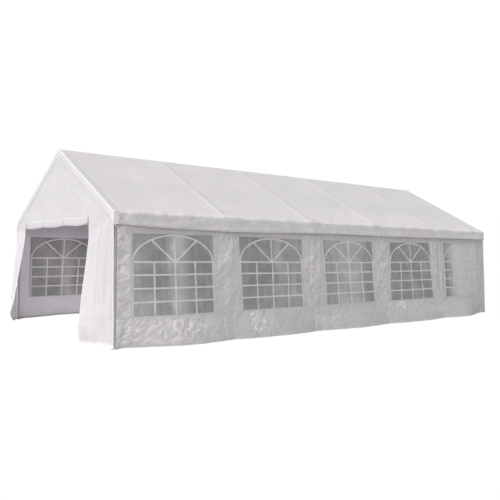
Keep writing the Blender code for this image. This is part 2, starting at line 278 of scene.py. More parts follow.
def woven_sheet(name, colour, thin, darken_top, crumpled):
    """thin is the tone of the coating's thin patches, the next argument how high in metres the
    colour darkens towards the ground, and crumpled how deep the shallow crumples are."""
    paint = Paint(name)
    place = paint.coordinates()
    cut_u, cut_v, _ = paint.axes(paint.coordinates("UV"))
    turns = 2 * math.pi / TAPE_PITCH
    weave = (cut_u * turns).sine() * (cut_v * turns).sine()
    clouds = paint.noise(place, 1.7, 5.0, 0.6)
    patches = paint.noise(place, 9.0, 4.0, 0.6)
    crumple = paint.noise(place, 22.0, 5.0, 0.62)
    stir = paint.node("TexNoise", None, {"Vector": place, "Scale": 5.0}, "Color")
    warp = paint.node("VectorMath", {"operation": "ADD"}, {0: place, 1: stir})
    dents = paint.node("TexVoronoi", {"feature": "F1"}, {"Vector": warp, "Scale": 11.0})
    crumple_highlight = paint.node("Attribute", {"attribute_name": "crumples_and_highlights"}, output="Fac")
    swirl = paint.node("VectorMath", {"operation": "MULTIPLY_ADD"},
                       {0: stir, 1: SWIRL, 2: place})
    turned = paint.mapped(swirl, "Rotation", (CREASE_SLANT, 0, 0))
    slanted = paint.mapped(turned, "Scale", CREASE_STRETCH)
    strokes = paint.noise(slanted, 17.0, 3.0, 0.55)
    small = paint.noise(slanted, 42.0, 2.0, 0.5)
    # The colour turns darker and browner towards the ground.
    low = paint.span(paint.axes(place)[2], 0.0, darken_top, 1.0, 0.0)
    cover = paint.span(clouds * 0.6 + patches * 0.4, 0.35, 0.68)
    low_darkening = low * low * paint.span(patches, 0.35, 0.75) * 0.22
    # Pale slanting creases painted in as highlights on the folds, partly also the stress marks of
    # crushed cloth.
    crease_highlight = (paint.span(strokes * 0.65 + small * 0.35, 0.47, 0.57)
               * paint.span(crumple_highlight, 0.12, 0.75))
    base = paint.blend(cover, shaded(colour, thin), colour)
    base = paint.blend(low_darkening, base, LOW_TONE)
    base = paint.blend(crease_highlight, base, CREASE_HIGHLIGHT)
    rough = paint.span(patches * 0.5 + crumple * 0.5, 0.3, 0.7, 0.44, 0.60)
    normal = paint.bump(dents, 0.0090 * crumpled)
    normal = paint.bump(crumple, 0.0130 * crumpled, normal)
    normal = paint.bump((strokes + 0.35 * small) * crumple_highlight, 0.008, normal)
    normal = paint.bump(weave, 0.00008, normal)
    return paint.close_cloth(base, rough, normal, 0.38, SHEET_GLOW)

roof_finish = woven_sheet("roof_weave", (0.890, 0.866, 0.886), 0.955, 0.05, 0.30)
# The right wall is the same cloth as the left, painted darker: painted shade for the side that the
# key light leaves in shade.
wall_finishes = {1: woven_sheet("right_wall_weave_shaded", (0.822, 0.798, 0.820), 0.945, 0.35, 0.9),
                 -1: woven_sheet("left_wall_weave", (0.890, 0.864, 0.888), 0.945, 0.35, 0.7)}
end_finish = woven_sheet("end_weave", (0.856, 0.834, 0.852), 0.945, 0.30, 0.55)

# %% [markdown]
# ## Clear film, bar tape, steel and small fittings
# The windows are clear vinyl that has gone milky in bands, so the film lets part of the view
# through and shows a soft sheen that follows its ripples. Some of the paler bands are painted
# light that stands for the lit far wall seen through the film. The bars are strips of white tape
# welded onto it. The tubes are galvanised: a dull zinc skin whose crystals differ in tone.

# %% Window film finish
# Paler bands: partly milky vinyl, partly painted light where the lit far wall shows through.
# how far back, half width, strength
MILKY_AND_LIT_BEHIND = ((0.30, 0.30, 0.22), (1.05, 0.18, 0.50), (3.10, 0.12, 0.22), (3.45, 0.20, 0.18),
         (4.85, 0.60, 0.50), (9.00, 0.68, 1.40))
MILK_SHIFT = 0.12
CLEAR = (0.330, 0.317, 0.328)
MILK = (0.650, 0.628, 0.645)
VINYL_IOR = 1.45


def window_film():
    """Clear vinyl with milky bands, some of them painted light for the lit far wall seen through
    it.
    """
    paint = Paint("clear_film")
    place = paint.coordinates()
    x, y, z = paint.axes(place)
    ripple = paint.noise(paint.mapped(place, "Scale", (1.0, 1.6, 1.0)), 3.2, 3.0, 0.5)
    haze = paint.noise(place, 14.0, 5.0, 0.65)
    streaks = paint.noise(paint.mapped(place, "Scale", (1.0, 8.0, 1.1)), 1.6, 3.0, 0.5)
    cloud = paint.noise(place, 3.1, 4.0, 0.6)
    shift = y + 0.16 * streaks + 0.05 * z
    milk_and_lit_behind = paint.span(streaks, 0.42, 0.70, 0.0, 0.20) + paint.span(cloud, 0.42, 0.68, 0.0, 0.32)
    for back, half, strength in MILKY_AND_LIT_BEHIND:
        aside = (shift - (back - HALF_L + MILK_SHIFT)).size()
        milk_and_lit_behind = milk_and_lit_behind + paint.span(aside, 0.35 * half, 1.25 * half, strength, 0.0)
    milk_and_lit_behind = milk_and_lit_behind * paint.span(x, -0.1, 0.1, 1.25, 1.0) * paint.span(haze, 0.2, 0.6, 0.85, 1.0)
    mask = paint.span(milk_and_lit_behind, 0.0, 1.0)
    see = paint.span(mask + 0.15 * (haze - 0.5), 0.0, 1.0, 0.55, 0.96)
    rough = paint.span(haze, 0.3, 0.75, 0.16, 0.30)
    return paint.close(paint.surface(paint.blend(mask, CLEAR, MILK), rough,
                                     paint.bump(ripple, 0.02), {"Alpha": see, "IOR": VINYL_IOR}))

film_finish = window_film()

# %% Tape finish
WHITE_TAPE = (0.985, 0.960, 0.980)
GREY_TAPE = (0.820, 0.797, 0.815)
THREAD = (0.62, 0.61, 0.62)
STITCH_TURNS = 900.0


def welded_tape(name, colour, stitched, through=0.0, greyer_back=False):
    """White tape. Where it is sewn it has rows of stitches, and with the last flag set it turns
    grey towards the back of the tent.
    """
    paint = Paint(name)
    place = paint.coordinates()
    cloud = paint.noise(place, 16.0, 4.0, 0.6)
    base = paint.blend(paint.span(cloud, 0.35, 0.7), shaded(colour, 0.95), colour)
    normal = paint.bump(cloud, 0.0020)
    if greyer_back:
        # Greyer towards the back of the tent.
        back_grey = paint.span(paint.axes(place)[1] + 0.4 * cloud, 3.55, 3.80, 0.0, 0.92)
        base = paint.blend(back_grey, base, GREY_TAPE)
    if stitched:
        along = paint.axes(paint.coordinates("UV"))[0]
        dash = paint.span((along * STITCH_TURNS).sine(), -0.2, 0.3)
        thread = dash * paint.span(cloud, 0.0, 0.2)
        base = paint.blend(thread * 0.10, base, THREAD)
        normal = paint.bump(dash, 0.0003, normal)
    rough = paint.span(cloud, 0.3, 0.7, 0.42, 0.55)
    return paint.close_cloth(base, rough, normal, 0.4, through)

bar_finishes = {1: welded_tape("bar_tape", WHITE_TAPE, False, 0.38, greyer_back=True),
                -1: welded_tape("left_bar_tape", WHITE_TAPE, False, 0.05)}
hem_finish = welded_tape("hem_tape", (0.800, 0.777, 0.797), True, 0.30)
edge_finish = welded_tape("edge_tape", (0.930, 0.905, 0.925), True, 0.30)
# A dark strip, painted shade: it stands for the shaded gap at the front corners between the front
# sheets and the side walls.
corner_shade_finish = welded_tape("corner_shade_tape", (0.380, 0.370, 0.380), True)

# %% Metal and plastic finishes
ZINC_TINT = (0.80, 0.81, 0.84)
ZINC_METALLIC = 0.6


def galvanised(name, tone, rough_low, rough_high):
    paint = Paint(name)
    place = paint.coordinates()
    cells = paint.node("TexVoronoi", {"feature": "F1"},
                       {"Vector": place, "Scale": 120.0}, "Color")
    spangle = paint.axes(cells)[0]
    cloud = paint.noise(place, 7.0, 5.0, 0.6)
    mask = paint.span(spangle * 0.5 + cloud * 0.5, 0.25, 0.75)
    return paint.close(paint.surface(
        paint.blend(mask, shaded(ZINC_TINT, tone), (tone, tone, tone)),
        paint.span(spangle, 0.0, 1.0, rough_low, rough_high), paint.bump(cloud, 0.0008),
        {"Metallic": ZINC_METALLIC}))


def moulded(name, colour, rough):
    paint = Paint(name)
    grain = paint.noise(paint.coordinates(), 260.0, 3.0, 0.5)
    return paint.close(paint.surface(
        paint.blend(paint.span(grain, 0.3, 0.7), shaded(colour, 0.88), colour),
        paint.span(grain, 0.3, 0.7, rough, rough + 0.12), paint.bump(grain, 0.0002), {}))

steel_finish = galvanised("galvanised_steel", 0.74, 0.34, 0.52)
zinc_finish = galvanised("zinc_fittings", 0.72, 0.24, 0.36)
coil_finish = moulded("toggle_plastic", (0.20, 0.20, 0.21), 0.40)
ball_finish = moulded("ball_plastic", (0.86, 0.85, 0.86), 0.38)

# %% [markdown]
# ## Working with operators
# An operator acts on whatever is selected, and a new primitive joins what is already selected.
# So each step first clears the selection. `dress` gives a finished piece its material and its
# body, and hides the solids it stands for.

# %% Selection and dressing helpers
tools = bpy.context.scene.tool_settings
SHARP = math.radians(50)


def deselect():
    active = bpy.context.active_object
    if active and active.mode != "OBJECT":
        bpy.ops.object.mode_set(mode="OBJECT")
    bpy.ops.object.select_all(action="DESELECT")


def pick(*pieces):
    deselect()
    for piece in pieces:
        piece.select_set(True)
    bpy.context.view_layer.objects.active = pieces[-1]


def edit_faces(piece, flags):
    """Enter edit mode with just the faces flagged True selected."""
    pick(piece)
    tools.mesh_select_mode = (False, False, True)
    piece.data.polygons.foreach_set("select", np.asarray(flags, bool))
    bpy.ops.object.mode_set(mode="EDIT")


def edit_edges(piece, flags):
    """Enter edit mode with just the edges flagged True selected."""
    pick(piece)
    tools.mesh_select_mode = (False, True, False)
    for items in (piece.data.polygons, piece.data.vertices):
        items.foreach_set("select", np.zeros(len(items), bool))
    piece.data.edges.foreach_set("select", np.asarray(flags, bool))
    bpy.ops.object.mode_set(mode="EDIT")


def leave_edit():
    bpy.ops.object.mode_set(mode="OBJECT")


def apply_modifier(piece, kind, **settings):
    pick(piece)
    modifier = piece.modifiers.new(kind.lower(), kind)
    for key, value in settings.items():
        setattr(modifier, key, value)
    bpy.ops.object.modifier_apply(modifier=modifier.name)


def soften_edges(piece, width):
    apply_modifier(piece, "BEVEL", width=width, segments=2, limit_method="ANGLE",
                   angle_limit=SHARP)


def discard(piece):
    bpy.data.objects.remove(piece, do_unlink=True)


def combine(piece, other, operation):
    """Unite another piece with this one, or cut it out of this one."""
    apply_modifier(piece, "BOOLEAN", object=other, operation=operation, solver="EXACT")
    discard(other)


def join(pieces, name):
    pick(*pieces)
    bpy.ops.object.join()
    joined = bpy.context.active_object
    joined.name = name
    return joined


def settle(piece):
    """Put the piece's place, turn and size into its mesh."""
    pick(piece)
    bpy.ops.object.transform_apply(location=True, rotation=True, scale=True)
    return piece


def copy_at(piece, name, shift):
    twin = piece.copy()
    twin.data = piece.data.copy()
    twin.data.transform(Matrix.Translation(shift))
    twin.name = name
    bpy.context.scene.collection.objects.link(twin)
    return twin


def dress(piece, slot, finish, *nodes):
    pick(piece)
    bpy.ops.object.shade_smooth_by_angle(angle=SHARP)
    piece.data.materials.clear()
    piece.data.materials.append(finish)
    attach(piece, "root")
    if nodes:
        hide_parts(*nodes)
    return piece

print("helpers ready")

# %% [markdown]
# ## Steel frame
# The real frame is round galvanised tube pushed into formed connectors, with a square plate
# under every post. A cylinder is only the start of each: the plate's corners are bevelled and
# two peg holes are cut through it, and a connector is several sleeves united into one body with
# bolt heads on its arms. One post and one connector are modelled, then copied.

# %% Tubes and sleeves
TUBE_FACES = 28


def turned_to(direction):
    return Vector(direction).to_track_quat("Z", "Y").to_euler()


def rod(start, end, radius, faces=TUBE_FACES, soften=0.0008):
    """A round bar between two points, with its end edges softened."""
    start, end = Vector(start), Vector(end)
    deselect()
    bpy.ops.mesh.primitive_cylinder_add(vertices=faces, radius=radius,
                                        depth=(end - start).length, location=(start + end) / 2,
                                        rotation=turned_to(end - start))
    piece = settle(bpy.context.active_object)
    if soften:
        soften_edges(piece, soften)
    return piece


def sleeve(start, end):
    return rod(start, end, SLEEVE_R, soften=0.001)


def ring(centre, axis, radius, thick, around, flat=1.0):
    """A round ring about an axis, pressed flat along it where flat is below 1."""
    deselect()
    bpy.ops.mesh.primitive_torus_add(major_radius=radius, minor_radius=thick,
                                     major_segments=around, minor_segments=8, location=centre,
                                     rotation=turned_to(axis))
    piece = bpy.context.active_object
    piece.scale = (1, 1, flat)
    return settle(piece)


def bolt(centre, direction):
    """A hexagon head on a washer."""
    direction = Vector(direction).normalized()
    centre = Vector(centre)
    washer = rod(centre - direction * 0.004, centre + direction * 0.0014, 0.0078, 16, 0.0003)
    head = rod(centre, centre + direction * 0.0062, 0.0056, 6, 0.0006)
    return [washer, head]


def at_portals(model, piece_name, node_name, across=0.0):
    """Copy a model to every portal frame, and dress the copies."""
    for k, y in enumerate(PORTALS):
        dress(copy_at(model, f"{piece_name}_{k + 1}", (across, y, 0)), "steel_tube", steel_finish,
              f"{node_name}_{k + 1}")

# %% Posts on their foot plates
PLATE_SIZE = 0.10
PLATE_T = 0.004
PLATE_CORNER = 0.008
PEG_OFFSET = 0.034
PEG_R = 0.006
SOCKET_TOP = 0.075
BEAD_R = 0.0022
BEAD_OUT = 0.0008
BOLT_Z = 0.045
POST_TOP = EAVE_AXIS_Z - 0.03


def foot_plate():
    deselect()
    bpy.ops.mesh.primitive_cube_add(size=1, location=(0, 0, PLATE_T / 2),
                                    scale=(PLATE_SIZE, PLATE_SIZE, PLATE_T))
    plate = settle(bpy.context.active_object)
    points = plate.data.vertices
    edit_edges(plate, [abs(points[a].co.z - points[b].co.z) > PLATE_T / 2
                       for a, b in (edge.vertices for edge in plate.data.edges)])
    bpy.ops.mesh.bevel(offset=PLATE_CORNER, segments=4)
    leave_edit()
    for at in (-PEG_OFFSET, PEG_OFFSET):
        combine(plate, rod((at, at, -0.01), (at, at, 0.02), PEG_R, 20, 0), "DIFFERENCE")
    soften_edges(plate, 0.0005)
    return plate


parts = [sleeve((0, 0, 0.002), (0, 0, SOCKET_TOP)), foot_plate(),
         ring((0, 0, PLATE_T + BEAD_OUT), (0, 0, 1), SLEEVE_R + BEAD_OUT, BEAD_R, TUBE_FACES),
         rod((0, 0, 0.01), (0, 0, POST_TOP), TUBE_R)]
model_post = join(parts + bolt((-SLEEVE_R, 0, BOLT_Z), (-1, 0, 0)), "model_post")
for side, word in SIDES:
    at_portals(model_post, f"post_tube_{word}", f"post_{word}", side * POST_X)
discard(model_post)
print("posts:", 2 * len(PORTALS))

# %% Rafters
RIDGE_AXIS = Vector((0, 0, RIDGE_AXIS_Z))
RAFTER_SHORT = 0.03


def eave_axis(side):
    return Vector((side * POST_X, 0, EAVE_AXIS_Z))


uphill = {side: (RIDGE_AXIS - eave_axis(side)).normalized() for side, _ in SIDES}
for side, word in SIDES:
    short = uphill[side] * RAFTER_SHORT
    model_rafter = rod(eave_axis(side) + short, RIDGE_AXIS - short, TUBE_R)
    at_portals(model_rafter, f"rafter_tube_{word}", f"rafter_{word}")
    discard(model_rafter)
print("rafters:", 2 * len(PORTALS))

# %% Rails with their connectors
RAIL_PAST = 0.012
SLEEVE_BACK = 0.004
BOLT_ALONG = 0.78
PURLIN_REACH = 0.06
down = Vector((0, 0, -1))


def connector(node, arms, reach):
    """Sleeves from a node along the rail and along its arms, with a bolt on each."""
    along = Vector((0, reach, 0))
    body = sleeve(node - along, node + along)
    for arm in arms:
        combine(body, sleeve(node - arm * SLEEVE_BACK, node + arm * reach), "UNION")
    inward = Vector((-math.copysign(1, node.x), 0, 0)) if abs(node.x) > TUBE_R else down
    bolts = []
    for arm in arms:
        face = (inward - arm * inward.dot(arm)).normalized()
        bolts += bolt(node + arm * reach * BOLT_ALONG + face * SLEEVE_R, face)
    return join(bolts + [body], "connector")


def rail(name, replaced, node, arms, reach=SLEEVE_REACH):
    """One long tube with a connector at every portal frame, cut off square at its ends."""
    half = Vector((0, PORTAL_END + RAIL_PAST, 0))
    tube = rod(node - half, node + half, TUBE_R)
    model = connector(node, arms, reach)
    copies = [copy_at(model, "connector_copy", (0, y, 0)) for y in PORTALS]
    discard(model)
    whole = join([tube] + copies, name)
    limit = PORTAL_END + SLEEVE_R
    for point in whole.data.vertices:
        point.co.y = max(-limit, min(limit, point.co.y))
    return dress(whole, "steel_tube", steel_finish, replaced)


rail("ridge_tube", "ridge_rail", RIDGE_AXIS, [-uphill[1], -uphill[-1]])
for side, word in SIDES:
    rail(f"eave_tube_{word}", f"eave_rail_{word}", eave_axis(side), [down, uphill[side]])
    rail(f"purlin_tube_{word}", f"mid_purlin_{word}", (eave_axis(side) + RIDGE_AXIS) / 2,
         [uphill[side], -uphill[side]], PURLIN_REACH)
print("rails: 5")

# %% [markdown]
# ## How a sheet is laid
# A sheet starts as a flat grid whose lines are the measures of its cut. Every point is then
# moved to where it hangs. The flat measures stay in the UV map. Wrinkles are small moves along
# the sheet's normal: soft waves, sharp little facets from packing, straight fold lines, and fans
# that radiate from a tie. Moving points in code gives each fold the place it has in the picture,
# which a cloth simulation of a sheet this large would not.

# %% Fold functions
def ease(t):
    t = np.clip(t, 0.0, 1.0)
    return t * t * (3 - 2 * t)


def hump(far, half):
    """1 in the middle, falling off smoothly to its sides."""
    return np.exp(-(far / half) ** 2)


def ripples(u, v, seed, low, high, count=14, heading=0.0, fan=math.pi):
    """Soft waves between low and high metres long, their crests square to the heading."""
    dice = np.random.default_rng(seed)
    total = np.zeros_like(u, dtype=float)
    for _ in range(count):
        length = low * (high / low) ** dice.random()
        turn = heading + dice.uniform(-fan, fan) / 2
        phase = dice.uniform(0, 2 * math.pi)
        total += length / high * np.sin((u * math.cos(turn) + v * math.sin(turn))
                                        * 2 * math.pi / length + phase)
    return total / math.sqrt(count) * 1.6


def facets(u, v, seed, size, count=6):
    """Flat little facets with sharp creases between them."""
    dice = np.random.default_rng(seed)
    bent_u = u + 0.3 * size * ripples(u, v, seed + 11, size, size * 4, 8)
    bent_v = v + 0.3 * size * ripples(u, v, seed + 12, size, size * 4, 8)
    total = np.zeros_like(u, dtype=float)
    for _ in range(count):
        length = size * dice.uniform(0.7, 2.0)
        turn = dice.uniform(0, math.pi)
        wave = (bent_u * math.cos(turn) + bent_v * math.sin(turn)) / length + dice.random()
        total += (np.abs(wave - np.floor(wave + 0.5)) * 4 - 1) * length / size
    return total / count


def fold_line(u, v, start, end, width):
    """1 along a straight fold between two flat points, fading to its sides and ends."""
    du, dv = end[0] - start[0], end[1] - start[1]
    length = math.hypot(du, dv)
    along = ((u - start[0]) * du + (v - start[1]) * dv) / length ** 2
    aside = ((u - start[0]) * dv - (v - start[1]) * du) / length
    return np.exp(-np.abs(aside / width) ** 1.5) * ease(along * 4) * ease((1 - along) * 4)


def tie_fan(u, v, at, heading, reach, spokes):
    """Folds that radiate from a tie and die out with distance."""
    du, dv = u - at[0], v - at[1]
    far = np.hypot(du, dv) / reach
    turn = (np.arctan2(dv, du) - heading + math.pi) % (2 * math.pi) - math.pi
    window = ease(1 - np.abs(turn) / 1.3)
    return np.cos(turn * spokes) * window * far * 2.7 * np.exp(-far * 2.2)

# %% Laying a sheet
HEART = np.array((0.0, 0.0, 1.0))


def lines(low, high, step):
    """Evenly spaced lines, about a step apart."""
    return np.linspace(low, high, max(2, int(round((high - low) / step)) + 1))


def values(items, key, width=1, kind=float):
    """One value, or one row of values, of each item of a mesh."""
    found = np.empty(len(items) * width, kind)
    items.foreach_get(key, found)
    return found.reshape(-1, width) if width > 1 else found


def face_out(piece):
    """Turn a sheet's faces away from the heart of the tent."""
    faces = piece.data.polygons
    if (values(faces, "normal", 3) * (values(faces, "center", 3) - HEART)).sum() < 0:
        edit_faces(piece, np.ones(len(faces), bool))
        bpy.ops.mesh.flip_normals()
        leave_edit()


def lay(name, us, vs, place, holes=(), thickness=SHEET_T, cut=None, crumples_and_highlights=None):
    """A sheet on the lines us and vs of its cut, moved by place(u, v) to where it hangs. cut
    gives its flat measures where us and vs aren't them, and the last argument how crumpled it is,
    which also sets where pale creases are painted in as highlights."""
    deselect()
    us, vs = np.asarray(us, float), np.asarray(vs, float)
    bpy.ops.mesh.primitive_grid_add(x_subdivisions=len(us) - 1, y_subdivisions=len(vs) - 1, size=1)
    piece = bpy.context.active_object
    piece.name = name
    mesh = piece.data
    unit = values(mesh.vertices, "co", 3) + 0.5
    u = us[np.rint(unit[:, 0] * (len(us) - 1)).astype(int)]
    v = vs[np.rint(unit[:, 1] * (len(vs) - 1)).astype(int)]
    corners = values(mesh.loops, "vertex_index", kind=int)
    flat = np.stack(cut(u, v) if cut else (u, v), 1)
    mesh.uv_layers[0].data.foreach_set("uv", flat[corners].ravel())
    mesh.vertices.foreach_set("co", np.stack(place(u, v), 1).ravel())
    crumple_highlight = mesh.attributes.new("crumples_and_highlights", "FLOAT", "POINT")
    crumple_highlight.data.foreach_set("value", crumples_and_highlights(u, v) if crumples_and_highlights else np.zeros(len(u)))
    mesh.update()
    middle_u, middle_v = (line[corners].reshape(-1, 4).mean(1) for line in (u, v))
    open_cells = np.zeros(len(mesh.polygons), bool)
    for u_low, u_high, v_low, v_high in holes:
        open_cells |= ((middle_u > u_low) & (middle_u < u_high)
                       & (middle_v > v_low) & (middle_v < v_high))
    if open_cells.any():
        edit_faces(piece, open_cells)
        bpy.ops.mesh.delete(type="FACE")
        leave_edit()
    face_out(piece)
    apply_modifier(piece, "SOLIDIFY", thickness=thickness, offset=-1)
    return piece


def spot(place, u, v):
    """Where one point of a sheet hangs."""
    return Vector([float(c[0]) for c in place(np.array([u]), np.array([v]))])

print("sheet helpers ready")

# %% [markdown]
# ## Roof cover
# One sheet runs over the ridge and hangs down past both eaves as a valance, and its two ends
# fold over the gables as a band. It is pulled tight over rafters and purlins and sags a little
# between them. So the cut is measured across the roof from the ridge, and one function bends
# that line over ridge and eaves and, past the gable edge, turns it down onto the gable.

# %% The line across the roof
VALANCE = 0.21
RAKE_BAND = 0.12
CORNER_BAND = 0.03
EDGE_R = 0.012
OVERHANG_START = 4.0
ACROSS = SLOPE_RUN + VALANCE
SOFT = 21
# how far back, and how far the hem is below the eave there on each side
DROP_AT = (0.0, 0.8, 1.65, 2.0, 3.2, 4.6, 6.0, 7.8, 9.8)
DROP_RIGHT = (0.170, 0.208, 0.220, 0.228, 0.214, 0.192, 0.206, 0.200, 0.190)
DROP_LEFT = (0.180, 0.200, 0.214, 0.200, 0.216, 0.200, 0.196, 0.208, 0.186)

dense = np.linspace(-ACROSS, ACROSS, 2895)
past_eave = np.maximum(np.abs(dense) - SLOPE_RUN, 0.0)
on_slope = np.minimum(np.abs(dense), SLOPE_RUN)
soft_x, soft_z = (np.convolve(np.pad(line, SOFT, mode="reflect", reflect_type="odd"),
                              np.ones(2 * SOFT + 1) / (2 * SOFT + 1), "valid")
                  for line in (np.sign(dense) * on_slope * math.cos(SLOPE),
                               RIDGE - on_slope * math.sin(SLOPE) - past_eave))
soft_nx, soft_nz = -np.gradient(soft_z, dense), np.gradient(soft_x, dense)
soft_n = np.hypot(soft_nx, soft_nz)
soft_nx, soft_nz = soft_nx / soft_n, soft_nz / soft_n


def portal_gap(y):
    """Distance to the nearest portal frame, and 0 to 1 from a frame to the middle of a bay."""
    phase = (y + PORTAL_END) / PORTAL_STEP
    gap = (phase - np.rint(phase)) * PORTAL_STEP
    belly = np.where(np.abs(y) > PORTAL_END, 0.0, np.abs(np.sin(math.pi * phase)))
    return gap, belly


def down_valance(s):
    """0 at the eave to 1 at the valance's hem."""
    return np.clip((np.abs(s) - SLOPE_RUN) / VALANCE, 0, 1)


def valance_drop(y, s):
    """How far the valance hangs below the eave, which differs along each side."""
    right, left = (np.interp(y + HALF_L, DROP_AT, drop) for drop in (DROP_RIGHT, DROP_LEFT))
    return np.where(s > 0, right, left)

print("line across the roof:", len(dense), "points")

# %% Folds of the roof and the valance
SAG = 0.014
RAFTER_RIDGE = 0.0090
PURLIN_RIDGE = 0.0015
FAN_HIGH = 0.0022
HANG_OUT = 0.036
HANG_FOLDS = 1.25
KNOT_BELOW = 0.05
# how far back, half width, strength
KNOTS = ((0.10, 0.14, 0.7), (1.80, 0.17, 1.0), (3.90, 0.12, 0.5), (6.38, 0.20, 1.0),
         (7.85, 0.12, 0.5), (9.20, 0.50, 0.8))


def roof_crushed(y, s):
    """Where the cloth bunches, and where pale creases are painted in as highlights: at the knots
    that hold the valance, along the eave, over the valance and low on the slope. Along the eave,
    over the valance and low on the slope of the back bays it is mostly painted highlight and
    painted light. About 0 to 1."""
    back = y + HALF_L
    from_eave = np.abs(s) - SLOPE_RUN
    knots = sum(strength * hump(back - at, half) for at, half, strength in KNOTS)
    along_eave = 0.5 + 0.5 * np.clip(ripples(y, np.sign(s) * 5.0, 36, 0.2, 0.9, 10), -1, 1)
    # Painted light: a brighter patch low on the slope of the back bays.
    lit_low_slope = 0.50 * hump(from_eave + 0.45, 0.45) * hump(back - 6.4, 2.6)
    # Along the eave and over the valance, the pale creases are painted highlights.
    return (knots * hump(from_eave - KNOT_BELOW, 0.13)
            + 0.95 * along_eave * hump(from_eave + 0.01, 0.06)
            + 0.38 * ease((from_eave - 0.02) / 0.05) + lit_low_slope * ease(-from_eave / 0.05))


def slope_relief(y, s, part):
    """The sheet between ridge and eave: sag, soft waves, and a ridge over each tube."""
    gap, belly = portal_gap(y)
    across = np.abs(np.sin(2 * math.pi * part)) * (part < 1)
    waves = (0.0030 * ripples(y, s, 21, 0.4, 1.7)
             + 0.0022 * ripples(y, s * 0.5, 23, 0.30, 0.9, 12, 0.9, 1.6))
    relief = (-SAG * belly ** 0.8 * across ** 0.8 + waves * belly ** 0.6 * ease(across * 3)
              + 0.0008 * facets(y, s, 22, 0.16) * belly ** 0.4
              + RAFTER_RIDGE * hump(gap, 0.050) * ease(across * 4 + 0.3) * (0.45 + 0.55 * part)
              + PURLIN_RIDGE * hump((part - 0.5) * SLOPE_RUN, 0.02))
    for k, portal in enumerate(PORTALS):
        for sign in (-1, 1):
            for at, reach in ((SLOPE_RUN, 0.30), (SLOPE_RUN / 2, 0.22)):
                relief = relief + FAN_HIGH * tie_fan(y, s, (portal, sign * at),
                                                     -sign * math.pi / 2, reach, 6 + k % 3)
    return relief


def roof_relief(y, s):
    """How far the sheet stands off its straight line, along its normal."""
    part = np.abs(s) / SLOPE_RUN
    edge = np.sign(s)
    back = y + HALF_L
    t = down_valance(s)
    loose = 0.30 + hump(back - 1.3, 0.75) + 0.8 * hump(back - 9.2, 0.7)
    tilt = 1.6 * ripples(y, edge * 3.0, 31, 0.8, 2.6, 10) + 2.2 * back
    hang = (0.006 + HANG_OUT * t + t * 0.0050 * ripples(y, s, 32, 0.35, 1.2, 12, 0.0, 1.2)
            + 0.0050 * loose * np.sin(2 * math.pi * (HANG_FOLDS * t) + tilt) * ease(t * 5)
            + 0.0035 * t * ripples(y, s, 33, 0.10, 0.30, 10, 0.0, 1.6))
    from_eave = (part - 1) * SLOPE_RUN
    eave_wave = np.abs((0.0150 + 0.0090 * loose) * hump(from_eave, 0.075)
                       * ripples(y, edge * 7.0, 34, 0.18, 0.9, 14))
    crinkle = (0.0064 * facets(y, s, 35, 0.060) * (roof_crushed(y, s) - 0.30 * t)
               * ease((from_eave + 0.16) / 0.10))
    return np.where(part < 1, slope_relief(y, s, part), hang) + eave_wave + crinkle


def roof_place(u, s, lift=0.0):
    """From the flat cut to the hung sheet: u along the tent, s across it from the ridge."""
    past = np.abs(u) - HALF_L
    arc = EDGE_R * math.pi / 4
    turn = np.clip(past / (2 * arc) + 0.5, 0, 1) * math.pi / 2
    y = HALF_L - EDGE_R + EDGE_R * np.sin(turn) + np.minimum(past + arc, 0)
    depth = EDGE_R * (1 - np.cos(turn)) + np.maximum(past - arc, 0)
    x, z, nx, nz = (np.interp(s, dense, line) for line in (soft_x, soft_z, soft_nx, soft_nz))
    t = down_valance(s)
    end = np.sign(u)
    z = z - (valance_drop(end * y, s) - VALANCE) * t
    calm = ease((HALF_L - 0.004 - y) / 0.05)
    relief = roof_relief(end * np.minimum(y, HALF_L), s) * (0.25 + 0.75 * calm) + lift
    y = y + (end < 0) * FRONT_OVERHANG * ease((y - OVERHANG_START) / (HALF_L - OVERHANG_START))
    on_roof = relief * np.cos(turn)
    inner_x = np.maximum(np.abs(x) - math.sin(SLOPE) * RAKE_BAND, 0)
    inner_x = np.where(t > 0, HALF_W - CORNER_BAND, inner_x)
    inner_z = RIDGE - RAKE_BAND / math.cos(SLOPE) - inner_x * math.tan(SLOPE)
    inner_z = np.where(t > 0, np.minimum(z, inner_z), inner_z)
    side = np.where(x < 0, -1.0, 1.0)
    reach = depth / RAKE_BAND
    band = 0.0010 + 0.0008 * ripples(s, u, 41, 0.12, 0.5, 10) + lift
    return (x + nx * on_roof + (side * inner_x - x) * reach, end * (y + np.sin(turn) * band),
            z + nz * on_roof + (inner_z - z) * reach)

# %% Lay the roof cover
FINE = 0.020
COARSE = 0.044
EAVE_LINES = (-0.018, -0.009, 0.0, 0.009, 0.018, 0.032, 0.05, 0.07, 0.09, 0.11, 0.13, 0.15, 0.17,
              0.19, 0.21)
END_LINES = np.array((0.12, 0.10, 0.08, 0.06, 0.045, 0.03, 0.02, 0.0115, 0.0065, 0.002, -0.002,
                      -0.0065, -0.0115, -0.02, -0.035))

stops = [-HALF_L + back for back in (0.06, 0.40, 1.50, 2.14, 6.06, 6.72)]
stops += [HALF_L - 0.70, HALF_L - 0.06]
along = [lines(low, high, COARSE if k % 2 else FINE)[:-1]
         for k, (low, high) in enumerate(zip(stops, stops[1:]))]
along_roof = np.concatenate([-HALF_L - END_LINES, *along, stops[-1:], HALF_L + END_LINES[::-1]])
half_across = np.concatenate([lines(0.012, SLOPE_RUN - 0.03, 0.070),
                              SLOPE_RUN + np.array(EAVE_LINES)])
across_roof = np.concatenate([-half_across[::-1], [0.0], half_across])
roof = lay("roof_sheet", along_roof, across_roof, roof_place, crumples_and_highlights=roof_crushed)
dress(roof, "roof_sheet", roof_finish, "roof_cover")
print("roof cover:", len(roof.data.polygons), "faces")

